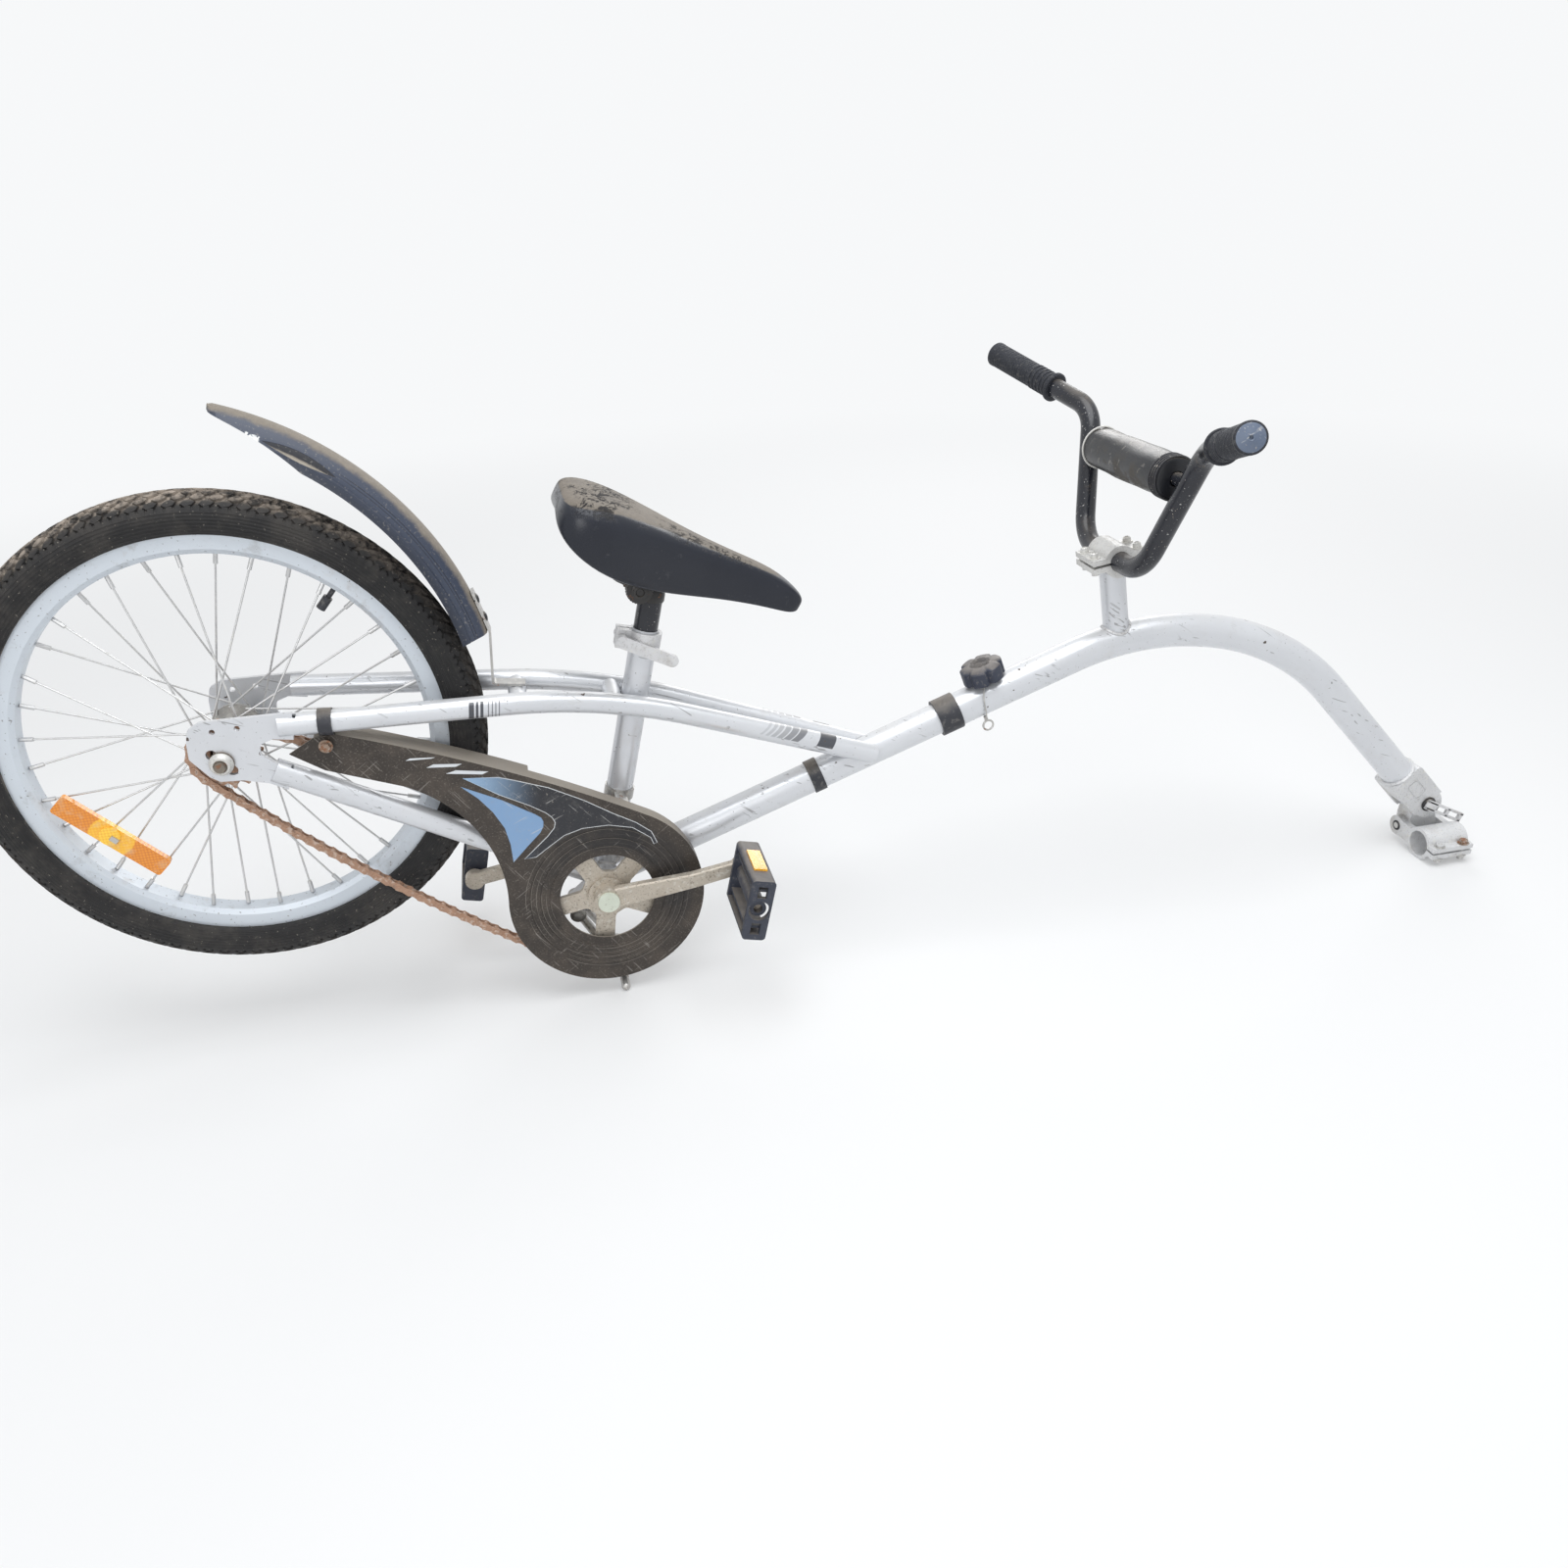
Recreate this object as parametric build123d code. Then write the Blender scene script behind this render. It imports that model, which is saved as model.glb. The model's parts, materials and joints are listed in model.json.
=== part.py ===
from build123d import *
from math import acos, asin, atan2, cos, degrees, hypot, pi, radians, sin, sqrt, tan
import os

# A trailer bike: the pedalling rear half that clamps to the seat post of a grown-up's bicycle.
# It is modelled in its own bike frame, in millimetres: the origin is the wheel's centre, X points
# forward to the hitch, Y to the rider's left and Z up. park() then sets it on the floor as it
# stands by itself, on its two-legged centre stand and its hitch, with the wheel lifted.
# Points given as (x, z) lie in the side view; a third number is Y.

# Wheel, 20 inch: rim diameter, tyre and hub
TYRE_RADIUS = 250.0
TYRE_WIDTH = 47.0
TYRE_WALL = 4.0
RIM_RADIUS = 210.0
RIM_DEPTH = 19.5
RIM_WIDTH = 26.0
RIM_WELL = 7.0
RIM_WALL = 2.0
SEAT_GAP = 0.3
HUB_SPACING = 110.0
HUB_FLANGE_RADIUS = 24.8
HUB_FLANGE_WIDTH = 3.0
HUB_FLANGE_RIGHT = -25.0
HUB_FLANGE_LEFT = 31.0
HUB_BARREL_RADIUS = 15.0
HUB_END_RADIUS = 9.5
HUB_END_GAP = 4.0
AXLE_RADIUS = 5.0
AXLE_OVERHANG = 14.0
NUT_RADIUS = 11.5
NUT_HEIGHT = 9.0
NUT_FLANGE = 2.5
SPOKE_COUNT = 36
SPOKE_RADIUS = 1.0
SPOKE_HOLE_RADIUS = 22.5
SPOKE_CROSSES = 3
NIPPLE_RADIUS = 2.2
NIPPLE_LENGTH = 13.0

# Drive: sprocket, chainring and half-inch chain
PITCH = 12.7
SPROCKET_TEETH = 16
RING_TEETH = 46
CHAIN_LINKS = 96
CHAIN_LINE = -41.0
TOOTH_DISC = 2.2
TOOTH_HEIGHT = 3.4
ROLLER_RADIUS = 2.9
INNER_GAP = 3.6
PLATE_THICKNESS = 1.1
PLATE_HEIGHT = 8.6
RING_BAND = 17.0
SPIDER_ARMS = 5
SPIDER_ARM_WIDTH = 21.0
SPIDER_HUB_RADIUS = 27.0
SPIDER_THICKNESS = 5.0

# Bottom bracket and cranks
BB = (373.5, -162.6)
BB_RADIUS = 20.0
BB_WIDTH = 68.0
SPINDLE_RADIUS = 8.5
CRANK_LENGTH = 147.0
CRANK_ANGLE = 17.5
CRANK_THICKNESS = 10.0
CRANK_ROOT_RADIUS = 15.0
CRANK_TIP_RADIUS = 11.0
CRANK_ROOT_Y = 55.0
CRANK_TIP_Y = 67.0
CRANK_BOW = 4.0
CAP_RADIUS = 11.5
CAP_HEIGHT = 3.0
PEDAL_WIDTH = 88.0
PEDAL_DEPTH = 68.0
PEDAL_THICKNESS = 25.0
PEDAL_WALL = 5.0
PEDAL_PIN_RADIUS = 4.5
PEDAL_TUBE_RADIUS = 8.5
PEDAL_START = 4.0
PEDAL_LEAN = 84.0

# Frame tubes
SEAT_TUBE_RADIUS = 14.3
SEAT_TUBE_WALL = 1.3
SEAT_TUBE_FOOT = (377.0, -150.0)
SEAT_TUBE_TOP = (407.3, 124.0)
MAIN_RADIUS = 17.45
MAIN_WALL = 1.6
MAIN_ANGLE = 27.0
BOOM_RADIUS = 19.05
BOOM_WALL = 1.4
STAY_RADIUS = 11.1
CHAINSTAY_RADIUS = 12.0
TUBE_WALL = 1.4
STAY_REAR = (52.0, 36.5, 55.0)
STAY_CROWN = (360.0, 59.7, 28.6)
STAY_BEND = 620.0
STAY_FRONT = (668.0, -12.4, 13.0)
CHAINSTAY_REAR = (46.0, -9.5, 55.0)
CHAINSTAY_BEND = (214.0, -84.5, 38.5)
CHAINSTAY_FRONT = (366.0, -156.0, 15.0)
CHAINSTAY_CRIMP = 34.5
BRIDGE_RADIUS = 9.5
BRIDGE_PLACES = ((278.0, 52.0), (375.0, 51.0))
DROPOUT_THICKNESS = 5.0
DROPOUT_HOLES = ((-6.4, 31.5), (16.0, 35.5))
DROPOUT_HOLE_RADIUS = 2.7
DROPOUT_SLOT_ANGLE = -41.0
DROPOUT_SLOT_LENGTH = 34.0
DROPOUT_SLOT_WIDTH = 10.4

# Boom: slides over the main tube at the joint, arches up and comes down to the hitch
JOINT_X = 752.0
BOOM_APEX = (1025.0, 135.5)
BOOM_END_ANGLE = -39.7
HITCH = (1412.0, -81.0)
BOOM_TUBE_SHORT = 28.0
COLLAR_LENGTH = 25.0
COLLAR_WALL = 2.0
KNOB_RADIUS = 21.0
KNOB_HEIGHT = 17.0
KNOB_PLACE = 50.0
PIN_PLACE = 38.0

# Handlebar post, clamp and bar
POST_FOOT = (939.0, 134.0)
POST_TOP = (915.0, 217.0)
POST_RADIUS = 14.3
BAR_RADIUS = 11.1
BAR_POINTS = ((0.0, 0.0, 0.0), (0.0, 70.0, 0.0), (9.0, 130.0, 138.0), (-51.0, 287.0, 175.0))
BAR_BENDS = (48.0, 42.0)
BAR_WALL = 1.5
CROSSBAR_RISE = 103.0
CROSSBAR_RADIUS = 7.0
PAD_RADIUS = 22.0
PAD_LENGTH = 178.0
CLAMP_LENGTH = 46.0
CLAMP_RADIUS = 18.0
CLAMP_EAR = 31.0
CLAMP_SPLIT = 3.0
GRIP_LENGTH = 112.0
GRIP_RADIUS = 15.5
GRIP_FLANGE_RADIUS = 20.5

# Saddle and its post
SEAT_POST_RADIUS = 12.7
SEAT_POST_LENGTH = 205.0
SADDLE_CLAMP = (414.0, 160.0)
SEAT_POST_RISE = 30.0
SADDLE_NOSE_DOWN = 24.0
SADDLE_NOSE = (568.0, 158.0)
RAIL_RADIUS = 3.5
RAIL_Y = 20.0
RAIL_POINTS = ((56.0, -30.0), (98.0, -52.0), (186.0, -52.0), (222.0, -22.0))
SADDLE_STATIONS = (
    # distance from the nose, half width, depth, height of the top above the nose line
    (0.0, 13.0, 12.0, -9.0),
    (14.0, 19.0, 28.0, -1.0),
    (75.0, 23.0, 38.0, 3.0),
    (135.0, 40.0, 44.0, 4.0),
    (190.0, 70.0, 46.0, 9.0),
    (232.0, 74.0, 38.0, 17.0),
    (258.0, 50.0, 20.0, 15.0),
)

# Mudguard: an arc round a centre of its own, clear of the tyre
MUDGUARD_CENTRE = (-47.0, 17.0)
MUDGUARD_RADIUS = 312.4
MUDGUARD_START = 19.0
MUDGUARD_END = 80.4
MUDGUARD_HALF = 31.0
MUDGUARD_DROP = 25.0
MUDGUARD_WALL = 2.5

# Chain guard
GUARD_FACE = -54.0
GUARD_DEPTH = 18.0
GUARD_ARM_DEPTH = 30.0
GUARD_WALL = 2.2
GUARD_RADIUS = 105.0
GUARD_HOLE = 51.0
GUARD_GROOVES = (61.0, 71.0, 82.0)
GUARD_GROOVE = 1.4
GUARD_EXIT = (222.0, -166.0)
GUARD_EXIT_SIZE = (184.0, 208.0)
GUARD_TAIL_OPEN = 83.0
GUARD_TAB_HEIGHT = -60.0
GUARD_STRAP_X = 95.0
FRAME_STRAP_X = 606.0

# Centre stand
STAND_PIVOT = (345.0, -203.0)
STAND_ROD_RADIUS = 5.0
STAND_FOOT_X = 398.0
STAND_KNEE_Y = 27.0
STAND_FOOT_Y = 52.0
STAND_KNEE_RISE = 10.0
STAND_BARREL_RADIUS = 9.0

# Hitch: fork on the boom's end, link that pitches in it, clamp that swings on the link's pin
PARK_PITCH = 8.0
FORK_RADIUS = 19.0
FORK_WIDTH = 41.0
FORK_SLOT = 27.0
FORK_LENGTH = 56.0
LINK_WIDTH = 26.0
LINK_EYE = 13.0
SKEWER_RADIUS = 4.0
PIN_DROP = 37.0
PIN_RADIUS = 4.5
PIN_LOBE = 13.0
CLAMP_BODY_START = -23.5
CLAMP_BODY_LENGTH = 55.0
LOBE_THICKNESS = 8.0
BORE_RADIUS = 15.9
BORE_WALL = 4.6
BORE_OFFSET = 44.0
BORE_SWING = -94.5
EAR_REACH = 29.0
EAR_THICKNESS = 6.0
EAR_GAP = 3.0
PIVOT_PLAY = 0.3

SPROCKET_PITCH_RADIUS = PITCH / (2 * sin(pi / SPROCKET_TEETH))
RING_PITCH_RADIUS = PITCH / (2 * sin(pi / RING_TEETH))
BIKE_Y = Vector(0, 1, 0)


def at(point, y=0.0):
    """A point of the side view, as a vector."""
    return Vector(point[0], y, point[1])


def side_plane(y, origin=(0.0, 0.0), turn=0.0):
    """A plane that faces the bike's right side, its own X turned up by turn degrees."""
    x_dir = Vector(cos(radians(turn)), 0, sin(radians(turn)))
    return Plane(origin=at(origin, y), x_dir=x_dir, z_dir=(0, -1, 0))


def slab(sketch, y_low, y_high, origin=(0.0, 0.0), turn=0.0):
    """A side-view sketch made solid from y_low to y_high."""
    return extrude(side_plane(y_high, origin, turn) * sketch, y_high - y_low)


def rod(start, end, radius, bore=0.0):
    """A straight round bar or tube between two vectors."""
    start = Vector(start)
    end = Vector(end)
    section = Circle(radius)
    if bore:
        section -= Circle(bore)
    return extrude(Plane(start, z_dir=end - start) * section, (end - start).length)


def cross_rod(point, y_low, y_high, radius, bore=0.0):
    """A bar or tube across the bike."""
    return rod(at(point, y_low), at(point, y_high), radius, bore)


def bent_tube(points, bends, radius, bore=0.0):
    """A tube along straight runs joined by bends."""
    path = FilletPolyline(*points, radius=bends) if bends else Polyline(*points)
    section = Circle(radius)
    if bore:
        section -= Circle(bore)
    return sweep(Plane(path @ 0, z_dir=path % 0) * section, path=path)


def both_sides(shape):
    """The right-hand piece and its mirror image on the left."""
    return shape, mirror(shape, Plane.XZ)


def mirrored_pair(shape):
    """One node that holds a piece and its mirror image."""
    return Compound(list(shape.solids()) + list(mirror(shape, Plane.XZ).solids()))


def along(start, end, distance):
    """The side-view point at a distance from start towards end."""
    share = distance / hypot(end[0] - start[0], end[1] - start[1])
    return (start[0] + share * (end[0] - start[0]), start[1] + share * (end[1] - start[1]))


def spin_profile(points):
    """A closed (y, radius) profile turned round the wheel's axle."""
    return revolve(Plane.YZ * make_face(Polyline(*points, close=True)), Axis.Y)


# Wheel
def tyre():
    half = TYRE_WIDTH / 2
    middle = TYRE_RADIUS - half
    seat = RIM_WIDTH / 2 - RIM_WALL - SEAT_GAP
    bed = RIM_RADIUS - RIM_WELL + SEAT_GAP
    bulge = [(half * sin(radians(a)), middle + half * cos(radians(a))) for a in (131, 90, 52, 20)]
    inner = half - TYRE_WALL
    hollow = [(inner * sin(radians(a)), middle + inner * cos(radians(a))) for a in (30, 90)]
    right = [(seat, bed), (seat, RIM_RADIUS + SEAT_GAP)] + bulge
    left = [(-y, r) for y, r in reversed(right)]
    lining = [(-hollow[1][0], hollow[1][1]), (-hollow[0][0], hollow[0][1]), hollow[0], hollow[1]]
    bead = seat - TYRE_WALL
    return spin_profile(right + left + [(-bead, bed)] + lining + [(bead, bed)])


def rim():
    half = RIM_WIDTH / 2
    inner = RIM_RADIUS - RIM_DEPTH
    bed = RIM_RADIUS - RIM_WELL
    outline = [
        (half, RIM_RADIUS), (half, inner + 5.0), (half - 3.5, inner),
        (3.5 - half, inner), (-half, inner + 5.0), (-half, RIM_RADIUS),
        (RIM_WALL - half, RIM_RADIUS), (RIM_WALL - half, bed),
        (half - RIM_WALL, bed), (half - RIM_WALL, RIM_RADIUS),
    ]
    return spin_profile(outline)


def hub():
    right = HUB_FLANGE_RIGHT
    left = HUB_FLANGE_LEFT
    end = HUB_SPACING / 2 - HUB_END_GAP
    bore = AXLE_RADIUS + PIVOT_PLAY
    profile = [
        (-end, bore), (-end, HUB_END_RADIUS), (right - HUB_FLANGE_WIDTH, HUB_END_RADIUS + 4),
        (right - HUB_FLANGE_WIDTH, HUB_FLANGE_RADIUS), (right, HUB_FLANGE_RADIUS),
        (right, HUB_BARREL_RADIUS), (left, HUB_BARREL_RADIUS), (left, HUB_FLANGE_RADIUS),
        (left + HUB_FLANGE_WIDTH, HUB_FLANGE_RADIUS), (left + HUB_FLANGE_WIDTH, HUB_BARREL_RADIUS + 3),
        (end - 6, HUB_BARREL_RADIUS + 1), (end, HUB_END_RADIUS), (end, bore),
    ]
    return spin_profile(profile)


def spokes():
    """Crossed spokes with their nipples, one solid each, heads in and out by turns."""
    made = []
    per_side = SPOKE_COUNT // 2
    hole_step = 360.0 / per_side
    rim_radius = RIM_RADIUS - RIM_DEPTH - SEAT_GAP
    edge_run = sqrt(HUB_FLANGE_RADIUS**2 - SPOKE_HOLE_RADIUS**2)
    overhang = edge_run * (HUB_FLANGE_LEFT + HUB_FLANGE_WIDTH) / (rim_radius - SPOKE_HOLE_RADIUS)
    for index in range(SPOKE_COUNT):
        side = index % 2
        pair = index // 2
        leaning = 1 if pair % 2 else -1
        flange = (HUB_FLANGE_LEFT + HUB_FLANGE_WIDTH / 2) if side else (HUB_FLANGE_RIGHT - HUB_FLANGE_WIDTH / 2)
        reach = HUB_FLANGE_WIDTH / 2 + SPOKE_RADIUS + SEAT_GAP
        if leaning > 0:
            reach += overhang
        head_y = flange + reach * leaning * (1 if side else -1)
        rim_angle = index * 360.0 / SPOKE_COUNT
        hub_angle = rim_angle - leaning * hole_step * (SPOKE_CROSSES - 0.5 + 0.25)
        head = Vector(
            SPOKE_HOLE_RADIUS * cos(radians(hub_angle)), head_y, SPOKE_HOLE_RADIUS * sin(radians(hub_angle))
        )
        seat_y = 3.0 if side else -3.0
        tip = Vector(rim_radius * cos(radians(rim_angle)), seat_y, rim_radius * sin(radians(rim_angle)))
        lean = (tip - head).normalized()
        neck = tip - lean * NIPPLE_LENGTH
        made.append(rod(head, neck, SPOKE_RADIUS) + rod(neck, tip - lean * SEAT_GAP, NIPPLE_RADIUS))
    return Compound([solid for spoke in made for solid in spoke.solids()])


def toothed_disc(teeth, pitch_radius, thickness, bore):
    """A flat sprocket whose roller seats are cut from its edge."""
    tip = pitch_radius + TOOTH_HEIGHT
    step = 360.0 / teeth
    base = pitch_radius - ROLLER_RADIUS
    outline = []
    for index in range(teeth):
        for share, radius in ((0.0, base), (0.30, pitch_radius), (0.42, tip), (0.58, tip), (0.70, pitch_radius)):
            angle = radians((index + share) * step)
            outline.append((radius * cos(angle), radius * sin(angle)))
    blank = make_face(Polyline(*outline, close=True)) - Circle(bore)
    return slab(blank, CHAIN_LINE - thickness / 2, CHAIN_LINE + thickness / 2)


def sprocket():
    """The rear sprocket on its carrier, which fills up to the hub's flange."""
    bore = HUB_END_RADIUS + 4 + SEAT_GAP
    inner_face = HUB_FLANGE_RIGHT - HUB_FLANGE_WIDTH - 2 * SPOKE_RADIUS - 3 * SEAT_GAP
    disc = toothed_disc(SPROCKET_TEETH, SPROCKET_PITCH_RADIUS, TOOTH_DISC, bore)
    carrier = Circle(bore + 5.0) - Circle(bore)
    return disc + slab(carrier, CHAIN_LINE, inner_face)


def spoke_reflector():
    """The long amber reflector that clips between two spokes."""
    middle = (-117.0, -98.0)
    body = slab(RectangleRounded(118.0, 21.0, 3.0), -19.5, -12.5, middle, -39.0)
    body += slab(Circle(10.0), -21.0, -12.5, along(middle, (-60.0, -145.0), -2.0))
    return body


def valve():
    angle = radians(56.5)
    seat = RIM_RADIUS - RIM_DEPTH - SEAT_GAP
    outer = Vector(seat * cos(angle), 0, seat * sin(angle))
    inner = outer * (1 - 26.0 / seat)
    cap = outer * (1 - 12.0 / seat)
    return rod(outer, inner, 2.6) + rod(cap, inner, 4.6)


def axle():
    """The fixed axle with its two flanged nuts, outside the dropouts."""
    face = HUB_SPACING / 2 + DROPOUT_THICKNESS
    end = face + AXLE_OVERHANG
    shape = cross_rod((0.0, 0.0), -end, end, AXLE_RADIUS)
    for side in (-1, 1):
        low, high = sorted((side * face, side * (face + NUT_FLANGE)))
        shape += cross_rod((0.0, 0.0), low, high, NUT_RADIUS)
        low, high = sorted((side * face, side * (face + NUT_HEIGHT)))
        shape += slab(RegularPolygon(NUT_RADIUS * 0.78, 6), low, high)
    return shape


# Frame
def dropout():
    """The right rear plate: a forked outline, a slanted slot and two eyelets."""
    outline = [
        (-30.0, 20.0), (-28.0, 33.0), (-17.0, 41.0), (50.0, 49.5), (66.0, 51.0), (66.0, 24.0),
        (47.0, 24.5), (35.0, 18.5), (35.0, 8.5), (46.0, 0.5), (62.0, -4.5), (58.0, -29.0),
        (42.0, -22.0), (18.0, -18.5), (-3.0, -20.0), (-12.0, -15.0), (-29.0, 3.0),
    ]
    plate = make_face(Polyline(*outline, close=True))
    corners = plate.vertices()
    plate = fillet([v for v in corners if v.X < 30 or (v.X < 40 and 5 < v.Y < 20)], 4.5)
    slot = Rot(0, 0, DROPOUT_SLOT_ANGLE) * SlotOverall(DROPOUT_SLOT_LENGTH, DROPOUT_SLOT_WIDTH)
    plate -= slot
    for hole in DROPOUT_HOLES:
        plate -= Pos(*hole) * Circle(DROPOUT_HOLE_RADIUS)
    outer = -(HUB_SPACING / 2 + DROPOUT_THICKNESS)
    return slab(plate, outer, outer + DROPOUT_THICKNESS)


def upper_stay_blank(radius, bore=0.0):
    points = [(x, -y, z) for x, z, y in (STAY_REAR, STAY_CROWN, STAY_FRONT)]
    return bent_tube(points, STAY_BEND, radius, bore)


def upper_stay():
    """The right upper stay, bent over the seat tube and run down to the main tube."""
    stay = upper_stay_blank(STAY_RADIUS, STAY_RADIUS - TUBE_WALL)
    slot = slab(Rectangle(34.0, 60.0), -HUB_SPACING / 2 - DROPOUT_THICKNESS - SEAT_GAP,
                -HUB_SPACING / 2 + SEAT_GAP, (52.0, 36.0))
    return (stay - slot - main_tube_blank(SEAT_GAP)).solids().sort_by(SortBy.VOLUME)[-1]


def chainstay():
    """The right chainstay, crimped where the chainring passes."""
    points = [(x, -y, z) for x, z, y in (CHAINSTAY_REAR, CHAINSTAY_BEND, CHAINSTAY_FRONT)]
    stay = bent_tube(points, 190.0, CHAINSTAY_RADIUS)
    slot = slab(Rectangle(34.0, 60.0), -HUB_SPACING / 2 - DROPOUT_THICKNESS - SEAT_GAP,
                -HUB_SPACING / 2 + SEAT_GAP, (47.0, -12.0))
    crimp_radius = RING_PITCH_RADIUS + TOOTH_HEIGHT + 9.0
    crimp = cross_rod(BB, -90.0, -CHAINSTAY_CRIMP, crimp_radius)
    shell = cross_rod(BB, -BB_WIDTH, BB_WIDTH, BB_RADIUS + SEAT_GAP)
    seat = seat_tube_blank(SEAT_GAP)
    return (stay - slot - crimp - shell - seat).solids().sort_by(SortBy.VOLUME)[-1]


def seat_tube_blank(extra):
    return rod(at(SEAT_TUBE_FOOT), at(SEAT_TUBE_TOP), SEAT_TUBE_RADIUS + extra)


def seat_tube():
    bore = SEAT_TUBE_RADIUS - SEAT_TUBE_WALL
    tube = rod(at(SEAT_TUBE_FOOT), at(SEAT_TUBE_TOP), SEAT_TUBE_RADIUS, bore)
    return tube - cross_rod(BB, -BB_WIDTH, BB_WIDTH, BB_RADIUS + SEAT_GAP)


def main_line(x):
    """The main tube's axis runs from the bottom bracket up to the joint."""
    return (x, BB[1] + (x - BB[0]) * tan(radians(MAIN_ANGLE)))


def main_tube_blank(extra):
    end = along(main_line(JOINT_X), main_line(JOINT_X + 100.0), 95.0)
    return rod(at(BB), at(end), MAIN_RADIUS + extra)


def main_tube():
    tube = main_tube_blank(0.0)
    end = along(main_line(JOINT_X), main_line(JOINT_X + 100.0), 95.0)
    tube -= rod(at(BB), at(end), MAIN_RADIUS - MAIN_WALL)
    tube -= cross_rod(BB, -BB_WIDTH, BB_WIDTH, BB_RADIUS + SEAT_GAP)
    return tube - seat_tube_blank(SEAT_GAP)


def bb_shell():
    """The bottom bracket shell with its bearing cups, bored for the spindle."""
    half = BB_WIDTH / 2
    return cross_rod(BB, -half, half, BB_RADIUS, SPINDLE_RADIUS + PIVOT_PLAY)


def stay_half_gap(x, z):
    """How far out the right upper stay's axis lies at a place."""
    share = (x - STAY_REAR[0]) / (STAY_CROWN[0] - STAY_REAR[0])
    if x > STAY_CROWN[0]:
        share = 1.0
    return STAY_REAR[2] + share * (STAY_CROWN[2] - STAY_REAR[2])


def bridges():
    """Two short cross tubes whose ends are notched to the upper stays."""
    made = []
    right = upper_stay_blank(STAY_RADIUS + SEAT_GAP)
    left = mirror(right, Plane.XZ)
    for place in BRIDGE_PLACES:
        reach = stay_half_gap(*place)
        tube = cross_rod(place, -reach, reach, BRIDGE_RADIUS, BRIDGE_RADIUS - TUBE_WALL)
        made.append((tube - right - left).solids().sort_by(SortBy.VOLUME)[-1])
    return Compound(made)


def boom_points():
    """Joint, crown and hitch end of the boom's axis."""
    low = main_line(JOINT_X)
    rise = tan(radians(MAIN_ANGLE))
    fall = tan(radians(BOOM_END_ANGLE))
    first = (low[0] + (BOOM_APEX[1] - low[1]) / rise, BOOM_APEX[1])
    last = (HITCH[0] + (BOOM_APEX[1] - HITCH[1]) / fall, BOOM_APEX[1])
    end = along(HITCH, last, BOOM_TUBE_SHORT)
    return low, first, last, end


def boom_tube(radius, bore=0.0):
    low, first, last, end = boom_points()
    flat = last[0] - first[0]
    share = tan(radians(MAIN_ANGLE) / 2) / (tan(radians(MAIN_ANGLE) / 2) + tan(radians(-BOOM_END_ANGLE) / 2))
    bends = [0.97 * flat * share / tan(radians(MAIN_ANGLE) / 2),
             0.97 * flat * (1 - share) / tan(radians(-BOOM_END_ANGLE) / 2)]
    points = [(p[0], 0.0, p[1]) for p in (low, first, last, end)]
    return bent_tube(points, bends, radius, bore)


def front_boom():
    boom = boom_tube(BOOM_RADIUS, BOOM_RADIUS - BOOM_WALL)
    return boom - hitch_fork_slot()


def boom_collar():
    """The black sleeve that closes the joint between main tube and boom."""
    start = along(main_line(JOINT_X), main_line(JOINT_X + 100.0), -COLLAR_LENGTH / 2)
    lip = along(main_line(JOINT_X), main_line(JOINT_X + 100.0), -SEAT_GAP)
    end = along(main_line(JOINT_X), main_line(JOINT_X + 100.0), COLLAR_LENGTH / 2)
    sleeve = rod(at(start), at(end), BOOM_RADIUS + COLLAR_WALL, MAIN_RADIUS + SEAT_GAP)
    return sleeve - rod(at(lip), at(end), BOOM_RADIUS + SEAT_GAP)


def boom_spot(distance, lift):
    """A point above or below the boom's straight rear end."""
    spot = along(main_line(JOINT_X), main_line(JOINT_X + 100.0), distance)
    turn = radians(MAIN_ANGLE)
    return (spot[0] - lift * sin(turn), spot[1] + lift * cos(turn))


def boom_knob():
    """The lobed hand knob that clamps the joint."""
    foot = at(boom_spot(KNOB_PLACE, BOOM_RADIUS + SEAT_GAP))
    up = at(boom_spot(KNOB_PLACE, 100.0)) - foot
    plane = Plane(foot, z_dir=up)
    knob = extrude(plane * Circle(8.0), 6.0)
    grip = Circle(KNOB_RADIUS)
    for index in range(6):
        angle = radians(60.0 * index)
        notch = Pos((KNOB_RADIUS + 3.0) * cos(angle), (KNOB_RADIUS + 3.0) * sin(angle)) * Circle(7.0)
        grip -= notch
    knob += extrude(Plane(foot, z_dir=up).offset(6.0) * grip, KNOB_HEIGHT - 6.0)
    return knob


def lock_pin():
    """The ring pin through the joint, its ring hanging under the tube."""
    side = 12.0
    skin = -sqrt(BOOM_RADIUS**2 - side**2) - SEAT_GAP
    ring = cross_rod(boom_spot(PIN_PLACE, skin - 12.0), -side - 1.0, 1.0 - side, 7.0, 4.6)
    stem = rod(at(boom_spot(PIN_PLACE, skin - 1.0), -side), at(boom_spot(PIN_PLACE, skin - 7.0), -side), 2.2)
    return ring + stem


def handlebar_post():
    foot = at(POST_FOOT)
    post = rod(foot, at(POST_TOP), POST_RADIUS, POST_RADIUS - TUBE_WALL)
    bar = Plane(at(POST_TOP), z_dir=BIKE_Y)
    post -= extrude(bar * Circle(CLAMP_RADIUS + SEAT_GAP), 60.0, both=True)
    return post - boom_tube(BOOM_RADIUS + SEAT_GAP)


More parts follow.
